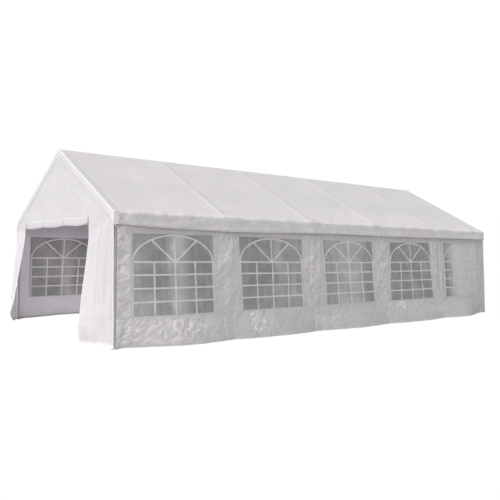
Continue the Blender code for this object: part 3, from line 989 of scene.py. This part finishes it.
# %% Seams and hems of the roof cover
HEM_W = 0.028
HEM_LINES = (HEM_Z + 0.002, 0.022, 0.042)


def trim(name, us, vs, place, **more):
    """A strip of tape sewn onto a sheet."""
    return lay(name, us, vs, place, thickness=TRIM_T, **more)


def roof_hem(us, ss):
    return trim("hem", us, ss, lambda u, s: roof_place(u, s, 0.0011))


roof_trims = []
for sign in (-1, 1):
    roof_trims.append(roof_hem(lines(-HALF_L + 0.02, HALF_L - 0.02, COARSE),
                               lines(sign * (ACROSS - HEM_W), sign * ACROSS, HEM_W)))
    for start, end in ((-SLOPE_RUN + 0.02, -0.14), (0.14, SLOPE_RUN - 0.02)):
        roof_trims.append(roof_hem(
            lines(sign * (HALF_L + RAKE_BAND - HEM_W), sign * (HALF_L + RAKE_BAND), HEM_W / 2),
            lines(start, end, 0.04)))
roof_trim = dress(join(roof_trims, "roof_seams_and_hems"), "roof_sheet", hem_finish)
print("roof trims:", len(roof_trim.data.polygons), "faces")

# %% [markdown]
# ## Side walls
# Each wall is one long sheet tied to the eave rail behind the valance. It is cut for five
# windows, hangs straight past them, and stands out near the ground where the hem is pegged wide.
# Its creases are what the picture shows best: upright folds beside the posts, slanting pulls
# between the windows and a mass of crumples under the first two.

# %% The line of a side wall
LEAN_TOP = 1.80
LEAN = {1: 0.079, -1: 0.120}
BACK_LEAN = 0.044
BACK_LEAN_START = 3.9
HEM_FLARE = {1: 0.10, -1: 0.04}
HEM_BELLY = {1: 0.10, -1: 0.06}
FLARE_CURVE = 1.6
FLARE_CORNER = 1.2
TIED_Z = 1.95
WALL_ENDS = 4.889
# along the wall: how far the cloth slides at head and sill height, and how far it droops
SWAY_Y = (-4.9, -4.62, -3.23, -2.67, -1.27, -0.71, 0.69, 1.25, 2.65, 3.21, 4.6, 4.9)
SWAY_HEAD = (0.0, -0.008, 0.019, -0.022, 0.023, 0.014, 0.0, 0.017, -0.017, -0.030, 0.0, 0.0)
SWAY_SILL = (0.0, 0.016, 0.028, 0.011, 0.011, 0.028, 0.028, -0.060, 0.060, -0.060, 0.0, 0.0)
HEAD_DROOP = (0.0, 0.0, 0.0, 0.0, 0.020, 0.024, 0.028, 0.028, 0.012, 0.0, 0.0, 0.0)


def hem_swell(z):
    return np.maximum(0.0, (SILL - z) / SILL) ** FLARE_CURVE


def corner_ease(along, half):
    return ease((half - np.abs(along)) / FLARE_CORNER)


def droop(y, z, side):
    """How far the heads of the right wall's middle windows hang below their cut."""
    rise = np.clip((z - SILL) / (HEAD - SILL), 0.0, 1.0)
    return (side > 0) * np.interp(y, SWAY_Y, HEAD_DROOP) * rise * ease((TIED_Z - z) / 0.22)


def sway(y, z, side):
    """How far the cloth of the right wall has slid along it, so that its windows lean."""
    low = np.clip((HEAD - z) / (HEAD - SILL), 0.0, 1.0)
    slid = np.interp(y, SWAY_Y, SWAY_HEAD) * (1 - low) + np.interp(y, SWAY_Y, SWAY_SILL) * low
    return (side > 0) * slid * ease((LEAN_TOP + 0.1 - z) / 0.3)

# %% Folds of a side wall
WALL_SEED = {1: 100, -1: 200}
# from and to (how far back, and how high), half width, how far it stands out
MULLION_FOLDS = (
    ((1.66, 1.02), (2.16, 1.58), 0.075, 0.014), ((1.70, 0.72), (2.22, 1.22), 0.060, -0.009),
    ((1.74, 0.44), (2.18, 0.86), 0.050, 0.008), ((3.60, 0.58), (4.16, 1.30), 0.055, 0.012),
    ((3.64, 1.06), (4.18, 1.68), 0.060, 0.014), ((3.70, 0.82), (4.12, 1.22), 0.028, -0.006),
    ((3.72, 0.36), (4.16, 0.74), 0.040, 0.007), ((5.54, 0.62), (6.14, 1.32), 0.055, 0.013),
    ((5.58, 1.16), (6.16, 1.72), 0.050, 0.011), ((5.64, 0.42), (6.10, 0.86), 0.040, -0.007),
    ((7.66, 0.50), (7.70, 1.74), 0.045, 0.014), ((7.86, 0.46), (7.92, 1.74), 0.040, -0.013),
    ((7.98, 0.52), (8.02, 1.70), 0.028, 0.008))
# Where the wall is crumpled, pale creases are also painted in as highlights; the wide low spots of
# the back bays are mostly painted light.
# how far back, half width, how high, half height, strength
CRUMPLES_AND_HIGHLIGHTS = (
    (0.10, 0.20, 0.95, 1.3, 0.85), (0.60, 0.55, 0.24, 0.17, 1.0), (1.20, 0.45, 0.22, 0.15, 0.8),
    (2.58, 0.24, 0.30, 0.20, 1.3), (1.95, 0.16, 1.3, 0.7, 0.55), (3.90, 0.20, 1.2, 0.7, 0.48),
    (5.90, 0.20, 1.1, 0.9, 0.55), (7.74, 0.10, 1.2, 0.8, 0.50), (4.40, 0.70, 0.22, 0.12, 0.35),
    (6.60, 0.45, 0.36, 0.08, 0.85), (7.00, 1.00, 0.20, 0.12, 0.24), (8.80, 1.00, 0.22, 0.25, 0.26))
CRUMPLES_AND_HIGHLIGHTS_ALL_OVER = 0.10
CRUMPLE_AND_HIGHLIGHT_SHARE = {1: 1.0, -1: 0.35}
# how far back, half width
SILL_PINCH = ((0.55, 0.30), (2.45, 0.20), (6.55, 0.35))


def wall_crushed(y, z):
    """How much of the packing crumples is left in the cloth, and how strongly pale creases are
    painted in on it as highlights, about 0 to 1.
    """
    return CRUMPLES_AND_HIGHLIGHTS_ALL_OVER + sum(strength * hump(y + HALF_L - at, half) * hump(z - middle, tall)
                                  for at, half, middle, tall, strength in CRUMPLES_AND_HIGHLIGHTS)


def in_windows(back, z):
    """1 within a window, falling to 0 at its edges."""
    total = np.zeros_like(back, dtype=float)
    for k in range(BAYS):
        low, high = BAY * k + WINDOW_START, BAY * k + WINDOW_END
        total += ease((back - low) / 0.06) * ease((high - back) / 0.06)
    return total * ease((z - SILL) / 0.05) * ease((HEAD - z) / 0.05)


def wall_relief(y, z, side):
    """How far a wall stands out from its straight line."""
    seed = WALL_SEED[side]
    gap, belly = portal_gap(y)
    back = y + HALF_L
    on_post = hump(gap, 0.055)
    soft = 0.0060 * ripples(y, z, seed, 0.28, 1.3, 16)
    upright = (0.0042 * ripples(y, z * 0.30, seed + 1, 0.07, 0.22, 12, -0.3, 0.7)
               * hump(gap, 0.20))
    slant = sum(high * fold_line(back, z, start, end, wide)
                for start, end, wide, high in MULLION_FOLDS)
    diagonal = ripples(y, z, seed + 3, 0.060, 0.14, 18, -0.75, 0.9)
    crisp = (0.0024 * facets(y, z, seed + 4, 0.065) + 0.0032 * facets(y, z, seed + 5, 0.13)
             + 0.0028 * diagonal) * wall_crushed(y, z) * CRUMPLE_AND_HIGHLIGHT_SHARE[side]
    crisp = crisp + (0.0026 * ripples(y, z, seed + 9, 0.11, 0.36, 16, -0.9, 1.1)
                     * ease((SILL + 0.1 - z) / 0.1))
    pinch = sum(hump(back - at, half) for at, half in SILL_PINCH) * hump(z - SILL + 0.035, 0.028)
    crisp = crisp + 0.0100 * facets(y, z * 0.6, seed + 7, 0.035) * pinch
    flat = 1 - 0.9 * in_windows(back, z)
    hem = (0.016 * ripples(y, z * 0.0, seed + 6, 0.6, 2.4, 10) * hem_swell(z)
           * corner_ease(y, END_OUT)
           + 0.006 * ripples(y, z * 0.3, seed + 8, 0.15, 0.5, 10) * ease(1 - z / 0.2))
    relief = ((soft * (0.35 + 0.65 * belly) + upright + crisp * flat) * (1 - 0.8 * on_post)
              + slant * flat + 0.0030 * on_post)
    return relief * ease((TIED_Z - z) / 0.06) + hem


def wall_place(side, lift=0.0):
    def place(y, z):
        below = np.maximum(LEAN_TOP - z, 0.0)
        hem = (HEM_FLARE[side] + HEM_BELLY[side] * portal_gap(y)[1]) * hem_swell(z)
        out = (LEAN[side] * below + hem) * corner_ease(y, END_OUT)
        back = BACK_LEAN * below * ease((y - BACK_LEAN_START) / (WALL_ENDS - BACK_LEAN_START))
        front = FRONT_OVERHANG / 2 * z / GABLE_HEM * ease((-y - 4.4) / 0.45)
        x = WALL_OUT + out + wall_relief(y, z, side) + lift
        return side * x, y + back - front + sway(y, z, side), z - droop(y, z, side)
    return place

# %% Lay the side walls
CELL = 0.02
windows = [(-HALF_L + BAY * k + WINDOW_START, -HALF_L + BAY * k + WINDOW_END, SILL, HEAD)
           for k in range(BAYS)]
wall_ys = np.concatenate([[-WALL_ENDS], np.arange(-HALF_L + 0.04, HALF_L - 0.03, CELL),
                          [WALL_ENDS]])
wall_zs = np.concatenate([[HEM_Z, 0.02], np.arange(0.04, WALL_TOP - 0.005, CELL), [WALL_TOP]])
walls = {}
for side, word in SIDES:
    walls[side] = lay(f"wall_sheet_{word}", wall_ys, wall_zs, wall_place(side), windows,
                      crumples_and_highlights=lambda y, z: CRUMPLE_AND_HIGHLIGHT_SHARE[side] * wall_crushed(y, z))
    dress(walls[side], "wall_sheet", wall_finishes[side], f"side_wall_{word}")
    print("wall:", word, len(walls[side].data.polygons), "faces")

# %% [markdown]
# ## Windows
# Each window is a pane of film welded behind its opening, with a frame of tape round it and the
# bars of an arched window in white tape on its face: a grid of four by four panes, and a fan of
# three spokes under a low arch. A bar is a narrow sheet that follows the wall's own folds, so
# that the grid wavers as the real one does.

# %% Bars of one window
BAR_W = 0.026
BAR_T = 0.0030
BAR_LIFT = 0.0011
UPRIGHT_OVER = 0.0003
SPOKE_OVER = 0.0005
ARCH_OVER = 0.0007
SPRING_Z = 1.27
CROSS_BARS = (SPRING_Z, 1.075, 0.87, 0.665)
ARCH_RISE = 0.415
SPOKE = (0.385, 0.335)
FILM_BACK = SHEET_T + 0.0022
FILM_T = 0.0006
FILM_LAP = 0.006
FRAME_W = 0.020
FILM_CELL = 0.035
CORNER_SHADE_AT = (0.003, 0.014, 0.025)
CORNER_SHADE_LOW = 0.012
CORNER_SHADE_TOP = 1.78


def bar(side, start, end, lift):
    """A straight strip on the film between two points of the wall's flat face."""
    start, end = np.array(start), np.array(end)
    length = np.hypot(*(end - start))
    run = (end - start) / length

    def place(u, v):
        return wall_place(side, lift)(start[0] + run[0] * u - run[1] * v,
                                      start[1] + run[1] * u + run[0] * v)
    return lay("bar", lines(0, length, FILM_CELL), [-BAR_W / 2, BAR_W / 2], place, thickness=BAR_T)


def arch(side, centre_y, half_width, lift):
    """The curved bar: half an ellipse from one edge of the window to the other."""
    def place(u, v):
        turn = math.pi * (1 - u)
        return wall_place(side, lift)(centre_y + (half_width + v) * np.cos(turn),
                                      SPRING_Z + (ARCH_RISE + v) * np.sin(turn))
    measure = half_width * 2.6
    return lay("bar", np.linspace(0, 1, 61), [-BAR_W / 2, BAR_W / 2], place, thickness=BAR_T,
               cut=lambda u, v: (u * measure, v))


def grille(side, y_low, y_high):
    """All the bars of one window. Where they cross, each kind lies over the one before."""
    lift = -FILM_BACK + BAR_LIFT
    centre = (y_low + y_high) / 2
    half = (y_high - y_low) / 2 - BAR_W / 2
    quarter = (y_high - y_low) / 4
    runs = [((y_low, z), (y_high, z), 0.0) for z in CROSS_BARS]
    runs.append(((centre, SILL), (centre, SPRING_Z + ARCH_RISE), UPRIGHT_OVER))
    runs += [((centre + y, SILL), (centre + y, SPRING_Z), UPRIGHT_OVER)
             for y in (-quarter, quarter, -half, half)]
    runs += [((centre, SPRING_Z), (centre + sign * SPOKE[0], SPRING_Z + SPOKE[1]), SPOKE_OVER)
             for sign in (-1, 1)]
    bars = [bar(side, start, end, lift + over) for start, end, over in runs]
    return bars + [arch(side, centre, half, lift + ARCH_OVER)]

# %% Panes, grilles and window frames
for side, word in SIDES:
    trims = []
    for k, (y_low, y_high, z_low, z_high) in enumerate(windows):
        pane = lay(f"film_{word}_{k + 1}", lines(y_low - FILM_LAP, y_high + FILM_LAP, FILM_CELL),
                   lines(z_low - FILM_LAP, z_high + FILM_LAP, FILM_CELL),
                   wall_place(side, -FILM_BACK), thickness=FILM_T)
        dress(pane, "window_film", film_finish, f"window_film_{word}")
        bars = dress(join(grille(side, y_low, y_high), f"bars_{word}_{k + 1}"), "wall_sheet",
                     bar_finishes[side])
        frame_ys, frame_zs = ([low - FRAME_W, *lines(low, high, CELL), high + FRAME_W]
                              for low, high in ((y_low, y_high), (z_low, z_high)))
        trims.append(trim("frame", frame_ys, frame_zs, wall_place(side, TRIM_LIFT),
                          holes=[(y_low, y_high, z_low, z_high)]))
    trims.append(trim("hem", wall_ys, HEM_LINES, wall_place(side, TRIM_LIFT)))
    wall_trim = dress(join(trims, f"wall_trims_{word}"), "wall_sheet", hem_finish)
    # Painted shade: a dark strip down each front corner for the shaded gap between the sheets.
    corner_shade = trim(f"corner_shade_strip_{word}", [-WALL_ENDS + at for at in CORNER_SHADE_AT],
                  lines(CORNER_SHADE_LOW, CORNER_SHADE_TOP, CELL), wall_place(side, 0.0011),
                  cut=lambda y, z: (z, y))
    dress(corner_shade, "wall_sheet", corner_shade_finish)
    print("windows:", word, len(windows))

# %% [markdown]
# ## Ends
# Each end is a triangle of sheet above the hem line and the sheets that hang below it, cut from
# one width of cloth, so their surfaces run on without a step. At the front the two outer sheets
# are free along the doorway. Held at the corner post, they billow out towards the free edge. At
# the back the three sheets meet at two zips, and only their hem stands out.

# %% Gables
END_SEED = {-1: 300, 1: 340}
GABLE_UNDER = 0.0068     # below the roof sheet's outer face, along its normal
BAND_OUT = 0.0035        # how much nearer it lies where the roof's band covers it


def end_relief(x, z, side):
    """Soft waves and packing crumples that run on from the gable into the sheets below."""
    seed = END_SEED[side]
    corner = ease((WALL_OUT - np.abs(x)) / 0.10)
    soft = 0.0034 * ripples(x, z, seed, 0.22, 1.0, 14)
    crisp = 0.0024 * facets(x, z, seed + 1, 0.09) + 0.0026 * facets(x, z, seed + 2, 0.20)
    return (soft + crisp) * corner + 0.0004


def gable_top(x):
    return RIDGE - GABLE_UNDER / math.cos(SLOPE) - np.abs(x) * math.tan(SLOPE)


def gable_flat(x, t):
    """t runs from the hem line to the slope."""
    return x, GABLE_HEM + (gable_top(x) - GABLE_HEM) * t


def gable_place(side):
    def place(x, t):
        z = gable_flat(x, t)[1]
        calm = ease((gable_top(x) - z - RAKE_BAND) / RAKE_BAND)
        y = END_OUT + FRONT_OVERHANG * (side < 0) + end_relief(x, z, side) * calm
        return x, side * (y + BAND_OUT * (1 - calm)), z
    return place


gable_xs = lines(-WALL_OUT + 0.004, WALL_OUT - 0.004, 0.024)
for side, word in ((-1, "front"), (1, "back")):
    gable = lay(f"gable_sheet_{word}", gable_xs, lines(0, 1, 1 / 44), gable_place(side),
                cut=gable_flat)
    dress(gable, "end_sheet", end_finish, f"{word}_gable")
    print("gable:", word, len(gable.data.polygons), "faces")

# %% Front sheets beside the doorway
DOORWAY_LEFT = -1.81
DOORWAY_RIGHT = 1.445
SWING_TOP = 1.80
FREE_HEM_Z = 0.008
BELLY_CURVE = 5
HEM_TUCK_Z = 0.30
LIFT_FROM = 0.5
PANEL_TALL = 1.98
FRONTS = {
    "left": {"corner_x": -WALL_OUT + 0.001, "edge_x": DOORWAY_LEFT, "swing": 0.33, "start": 1.15,
             "hold": 1.0, "belly": 0.085, "drift": 0.10, "tucked": 0.0, "fade": 0.65,
             "lifted": 0.22, "corner_z": 0.008, "seed": 400},
    "right": {"corner_x": WALL_OUT - 0.001, "edge_x": DOORWAY_RIGHT, "swing": 0.17, "start": 1.6,
              "hold": 2.0, "belly": 0.03, "drift": 0.0, "tucked": 0.15, "fade": 0.01,
              "lifted": 0.0, "corner_z": 0.055, "seed": 420}}


def panel_place(corner_x, edge_x, swing, start, hold, belly, drift, tucked, fade, lifted,
                corner_z, seed, lift=0.0):
    """s runs from the corner post to the free edge, t from the hem to the gable's hem line. The
    free edge swings out, from start and up to hold, drifts aside and tucks in at the hem, and
    the sheet bellies between its edges. lifted raises the hem at the free edge."""
    width = abs(edge_x - corner_x)

    def place(s, t):
        round_off = 0.018 * ease((s - 0.90) / 0.10) ** 2
        round_off = round_off + lifted * 2 * ease((s - LIFT_FROM) / (1 - LIFT_FROM) / 2)
        hem = corner_z + (FREE_HEM_Z - corner_z) * s + round_off
        z = hem + (GABLE_HEM - 0.0003 - hem) * t
        fall = np.maximum(0.0, 1 - z / SWING_TOP)
        free = 1 - (1 - fall ** start) ** hold
        tuck = 1 - tucked * ease(1 - z / HEM_TUCK_Z)
        round_out = (1 - np.minimum(1.0, z / SWING_TOP) ** BELLY_CURVE) * ease(z / fade)
        out = swing * free * tuck * s + belly * round_out * 4 * s * (1 - s)
        x = corner_x + (edge_x + drift * fall - corner_x) * s
        flat_x = s * width
        hang = ease((SWING_TOP + 0.06 - z) / 0.25)
        low = ease((0.9 - z) / 0.5)
        folds = 0.0075 * ripples(flat_x, z * 0.08, seed, 0.10, 0.30, 12, 0.0, 0.40)
        pulls = 0.0080 * ripples(flat_x, z, seed + 1, 0.30, 0.9, 12, 0.4, 1.6)
        crush = 0.0030 * facets(flat_x, z, seed + 2, 0.15) * (0.5 + 0.5 * low)
        extra = ((folds * (1 - 0.5 * low) + pulls * (0.4 + 0.6 * low) + crush)
                 * ease(flat_x / 0.12) * hang)
        y = END_OUT + FRONT_OVERHANG * z / GABLE_HEM + out + extra
        return x, -(y + end_relief(x, z, -1) * (1 - hang) + lift), z
    return place


for word, shape in FRONTS.items():
    width = abs(shape["edge_x"] - shape["corner_x"])
    on_sheet = panel_place(**shape, lift=TRIM_LIFT)
    ss, ts = lines(0, 1, 0.02 / width), lines(0, 1, 0.01)

    def across(s, t):
        return s * width, t * PANEL_TALL

    def upright(s, t):
        return t * PANEL_TALL, s * width

    panel = lay(f"front_sheet_{word}", ss, ts, panel_place(**shape), cut=across)
    dress(panel, "end_sheet", end_finish, f"front_panel_{word}")
    strips = [
        trim("hem", lines(1 - 0.03 / width, 1, 0.015 / width), ts, on_sheet, cut=upright),
        trim("hem", lines(0, HEM_W / width, HEM_W / 2 / width), lines(0, 0.9, 0.01), on_sheet,
             cut=upright),
        trim("hem", ss, [0.0, 0.008, 0.016], on_sheet, cut=across)]
    hems = dress(join(strips, f"front_hems_{word}"), "end_sheet", edge_finish)
    round(width + 0.06, 2)
    print("front sheet:", word, len(panel.data.polygons), "faces")

# %% [markdown]
# ## The rolled door leaf
# The leaf that closes the doorway is rolled up outwards and held under the gable's hem by four
# straps. It is one sheet wound into a flattened spiral, so its ends show the turns. It droops
# between the straps, which makes the wavy lower edge over the doorway.

# %% Roll the leaf
ROLL_LOW = DOORWAY_LEFT + 0.004
ROLL_HIGH = DOORWAY_RIGHT - 0.004
ROLL_SPANS = 3
ROLL_SAG = 0.012
ROLL_TALL = 0.066
ROLL_DEEP = 0.020
ROLL_TURNS = 4.5
ROLL_TIGHTEN = 0.20
ROLL_PINCH = 0.006
ROLL_Y = -4.8850 - FRONT_OVERHANG
STRAP_W = 0.025
strap_xs = np.linspace(ROLL_LOW + 0.05, ROLL_HIGH - 0.05, ROLL_SPANS + 1)


def squared(wave):
    """Fuller than the sine, so that the roll's section is a rounded oblong."""
    return np.sign(wave) * np.abs(wave) ** 0.5


def roll_tall(x):
    """Half the roll's height, which droops between two straps."""
    part = (x - ROLL_LOW) / (ROLL_HIGH - ROLL_LOW)
    return ROLL_TALL + ROLL_SAG * np.abs(np.sin(ROLL_SPANS * math.pi * part))


def roll_place(x, turns, lift=0.0, wrinkled=1.0):
    tall = roll_tall(x)
    middle = GABLE_HEM - 0.0005 - tall
    size = 1 - ROLL_TIGHTEN * turns
    pinch = ROLL_PINCH * sum(hump(x - strap, 0.035) for strap in strap_xs)
    wave = wrinkled * (0.0035 * ripples(x, turns * 0.35, 500, 0.08, 0.5, 14)
                       + 0.0022 * facets(x, turns * 0.35, 501, 0.07))
    below = ease(turns * 5)
    deep = (ROLL_DEEP + wave * below) * size - pinch + lift
    high = (tall + wave * below) * size - pinch * below + lift * below
    turn = 2 * math.pi * turns
    return x, ROLL_Y - deep * squared(np.sin(turn)), middle + high * squared(np.cos(turn))


def on_roll(x, turns):
    return roll_place(x, turns, 0.0035, 0.0)


door_roll = lay("door_roll", lines(ROLL_LOW, ROLL_HIGH, 0.022),
                np.linspace(0, ROLL_TURNS, 118), roll_place, thickness=0.002,
                cut=lambda x, turns: (x, turns * 0.25))
dress(door_roll, "end_sheet", end_finish, "rolled_door")
straps = [lay("strap", lines(x - STRAP_W / 2, x + STRAP_W / 2, STRAP_W / 2),
              np.linspace(0.0, 1.0, 41), on_roll, thickness=0.0012,
              cut=lambda x, turns: (turns * 0.36, x)) for x in strap_xs]
roll_straps = dress(join(straps, "roll_straps"), "end_sheet", hem_finish)
print("roll:", len(door_roll.data.polygons), "faces")

# %% Toggles that close the straps
def toggle(x):
    """A stick with a thicker waist that the strap's loop goes round."""
    y, z = ROLL_Y - ROLL_DEEP - 0.005, GABLE_HEM - roll_tall(x) * 0.95
    return join([rod((x - half, y, z), (x + half, y, z), radius, 20, soften)
                 for half, radius, soften in ((0.021, 0.0065, 0.003), (0.006, 0.0082, 0.002))],
                "toggle")


dress(join([toggle(x) for x in strap_xs], "strap_toggles"), "end_sheet", ball_finish)
print("toggles:", len(strap_xs))

# %% [markdown]
# ## The closed back
# The back repeats the front with its leaf let down. Three sheets meet at two upright zips, and
# the hem stands out a hand's width from the posts.

# %% Lay the back sheets
BACK_FLARE = 0.12
DOOR_HALF = 1.40


def back_place(lift=0.0):
    def place(x, z):
        swell = (BACK_LEAN * np.maximum(LEAN_TOP - z, 0.0)
                 + BACK_FLARE * hem_swell(z) * corner_ease(x, WALL_OUT))
        by_zip = hump(np.abs(x) - DOOR_HALF, 0.05)
        corner = ease((WALL_OUT - np.abs(x)) / 0.12)
        hang = ease((GABLE_HEM - z) / 0.25)
        folds = 0.0060 * ripples(x, z * 0.10, 600, 0.08, 0.30, 14, 0.0, 0.45) * (1 - 0.8 * by_zip)
        pulls = 0.0045 * ripples(x, z, 601, 0.2, 0.9, 12)
        crush = 0.0035 * facets(x, z, 602, 0.12) * ease((0.8 - z) / 0.5)
        pucker = 0.0025 * np.sin(z * 90.0 + 3 * np.sin(z * 11.0)) * by_zip
        extra = (folds + pulls + crush + pucker) * corner * hang
        return x, END_OUT + swell + extra + end_relief(x, z, 1) * (1 - hang) + lift, z
    return place


back_zs = np.concatenate([[HEM_Z], lines(0.02, GABLE_HEM - 0.0003, 0.022)])
backs = {"back_sheet_left": (-WALL_OUT + 0.002, -DOOR_HALF - 0.0004, "back_panel_left"),
         "back_leaf_sheet": (-DOOR_HALF + 0.0004, DOOR_HALF - 0.0004, "back_door_leaf"),
         "back_sheet_right": (DOOR_HALF + 0.0004, WALL_OUT - 0.002, "back_panel_right")}
for name, (x_low, x_high, node) in backs.items():
    xs = lines(x_low, x_high, 0.024)
    sheet = lay(name, xs, back_zs, back_place())
    dress(sheet, "end_sheet", end_finish, node)
    hem = trim(f"{name}_hem", xs, HEM_LINES, back_place(TRIM_LIFT))
    dress(hem, "end_sheet", hem_finish)
    print("back sheet:", name, len(sheet.data.polygons), "faces")

# %% Zips of the back leaf
COIL_HALF = 0.0045
COIL_HIGH = 0.0022
RIB_PITCH = 0.012
RIB_HIGH = 0.0012


def zip_parts(x):
    """A ribbed coil between two tapes, with a slider near the ground."""
    def coil(u, z):
        ribs = RIB_HIGH * (0.5 + 0.5 * np.sin(z * 2 * math.pi / RIB_PITCH))
        px, py, pz = back_place(0.0018)(x + u, z)
        return px, py + ribs + COIL_HIGH * (1 - (u / COIL_HALF) ** 2), pz
    tape = lay("tape", [x + u for u in (-0.016, -0.008, 0.0, 0.008, 0.016)],
               lines(0.03, 1.93, CELL), back_place(0.0012), thickness=0.0010,
               cut=lambda u, z: (z, u))
    teeth = lay("coil", [-COIL_HALF, -0.0022, 0.0, 0.0022, COIL_HALF], lines(0.04, 1.92, 0.003),
                coil, thickness=0.0016, cut=lambda u, z: (z, u))
    y = spot(back_place(0.006), x, 0.16).y
    body = rod((x, y - 0.004, 0.148), (x, y - 0.004, 0.172), 0.0065, 20, 0.002)
    pull = rod((x, y + 0.003, 0.105), (x, y + 0.003, 0.150), 0.0032, 12, 0.001)
    return [tape], [teeth], [body, pull]


tapes, coils, sliders = (left + right for left, right
                         in zip(zip_parts(-DOOR_HALF), zip_parts(DOOR_HALF)))
dress(join(tapes, "zip_tapes"), "end_sheet", hem_finish)
dress(join(coils, "zip_coils"), "end_sheet", coil_finish)
dress(join(sliders, "zip_sliders"), "steel_tube", zinc_finish)
print("zips: 2")

# %% [markdown]
# ## Small fittings
# At every portal frame the roof cover is held down by a loop of elastic through two eyelets,
# closed with a ball. Eyelets also run along the wall hems, where pegs go through.

# %% Eyelets and ball loops
EYELETS_APART = 0.036
TIE_BELOW = 0.055
BALL_BELOW = 0.095
BALL_R = 0.0135
BALL_OUT = 0.015
ELASTIC_R = 0.0022
FROM_END = 0.07
PEGS = np.linspace(-4.82, 4.82, 11)
PEG_Z = 0.028


def eyelet(centre, axis):
    return ring(centre, axis, 0.0085, 0.0024, 20, 0.6)


def at_valance(side, y, below, lift):
    return spot(lambda u, s: roof_place(u, s, lift), y, side * (SLOPE_RUN + below))


def ball_loop(side, y):
    """An elastic loop through two eyelets, with a ball on the outside."""
    ball_at = at_valance(side, y, BALL_BELOW, BALL_OUT)
    deselect()
    bpy.ops.mesh.primitive_uv_sphere_add(segments=20, ring_count=12, radius=BALL_R,
                                         location=ball_at)
    ball = bpy.context.active_object
    ball.scale = (0.92, 1, 1)
    settle(ball)
    loops = []
    for shift in (-EYELETS_APART / 2, EYELETS_APART / 2):
        start = at_valance(side, y + shift, TIE_BELOW, 0.004)
        bend = start + Vector((side * 0.007, 0, -0.006))
        loops += [rod(start, bend, ELASTIC_R, 8, 0), rod(bend, ball_at, ELASTIC_R, 8, 0)]
    return ball, loops


for side, word in SIDES:
    balls, loops, rings = [], [], []
    for portal in PORTALS:
        y = max(-HALF_L + FROM_END, min(HALF_L - FROM_END, portal))
        ball, cords = ball_loop(side, y)
        balls.append(ball)
        loops += cords
        rings += [eyelet(at_valance(side, y + shift, TIE_BELOW, 0.0006), (side, 0, 0))
                  for shift in (-EYELETS_APART / 2, EYELETS_APART / 2)]
    rings += [eyelet(spot(wall_place(side, 0.0012), y, PEG_Z), (side, 0, 0.6)) for y in PEGS]
    dress(join(balls + loops, f"ball_loops_{word}"), "end_sheet", ball_finish)
    dress(join(rings, f"eyelets_{word}"), "steel_tube", zinc_finish)
    print("fittings:", word, len(balls), "balls,", len(rings), "eyelets")

# %% [markdown]
# ## Light and floor
# The picture is lit softly, on white. Most of it comes from a wide sky. A broad key light from
# the front left gives the gable and the roof their tone and leaves the right wall in soft shade,
# a smaller light from the front rakes along that wall, so that its folds show, and a weak one
# from the right fills it. A pale floor throws light back up. The sky and the floor that light
# the tent are dimmer than the white that the camera sees round it, and dimmer again through the
# windows.

# %% Set the light
SKY = 0.43
SKY_TINT = (0.98, 0.985, 1.0)
SKY_WHITE = 1.02
# where it comes from, its strength, its angle in degrees
LIGHTS = {"key": ((-0.60, -0.50, 0.70), 2.97, 40), "rake": ((0.25, -0.75, 0.65), 1.20, 16),
          "fill": ((0.70, -0.62, 0.30), 0.66, 20)}
FLOOR_REACH = 9.0
FLOOR_GREY = (0.50, 0.50, 0.50, 1.0)
FLOOR_GLOW = 0.10
FLOOR_SHARE = 0.85
FLOOR_WHITE = 1.12
BEYOND_FILM = 0.30

scene = bpy.context.scene
scene.view_settings.view_transform = "Standard"


def first_sight(paint):
    """1 for what the camera sees directly, and 1 for what it sees through the windows."""
    way = paint.node("LightPath")
    direct = way.other("Transparent Depth").below(0.5)
    seen = way.other("Is Camera Ray")
    return seen * direct, seen * (1 - direct)


sky = Paint("studio", "worlds")
direct, behind = first_sight(sky)
unseen = sky.mix(behind, sky.glow("Background", SKY, SKY_TINT),
                 sky.glow("Background", BEYOND_FILM))
scene.world = sky.close(sky.mix(direct, unseen, sky.glow("Background", SKY_WHITE)))

for name, (aim, energy, angle) in LIGHTS.items():
    sun = bpy.data.lights.new(name, "SUN")
    sun.energy = energy
    sun.angle = math.radians(angle)
    sun_object = bpy.data.objects.new(name, sun)
    sun_object.rotation_euler = turned_to(aim)
    scene.collection.objects.link(sun_object)

pale = Paint("pale_floor")
direct, behind = first_sight(pale)
matt = pale.node("BsdfPrincipled", None, {
    "Base Color": FLOOR_GREY, "Roughness": 0.9, "Specular IOR Level": 0.1,
    "Emission Color": (1, 1, 1, 1), "Emission Strength": FLOOR_GLOW})
unseen = pale.mix(behind * FLOOR_SHARE, matt, pale.glow("Emission", BEYOND_FILM))
floor_finish = pale.close(pale.mix(direct * FLOOR_SHARE, unseen,
                                   pale.glow("Emission", FLOOR_WHITE)))
deselect()
bpy.ops.mesh.primitive_circle_add(vertices=96, radius=FLOOR_REACH, fill_type="NGON",
                                  location=(0, 0, -0.001))
floor = bpy.context.active_object
floor.name = "floor"
floor.data.materials.append(floor_finish)
print("floor:", FLOOR_REACH, "m, lights:", list(LIGHTS))

# %% [markdown]
# ## Finish
# The triangles that the scene renders are counted.

# %% Finish
triangles = sum(len(o.data.loop_triangles) or len(o.data.polygons) * 2
                for o in bpy.context.scene.objects if o.type == "MESH" and not o.hide_render)
print("triangles in the scene, about:", triangles)
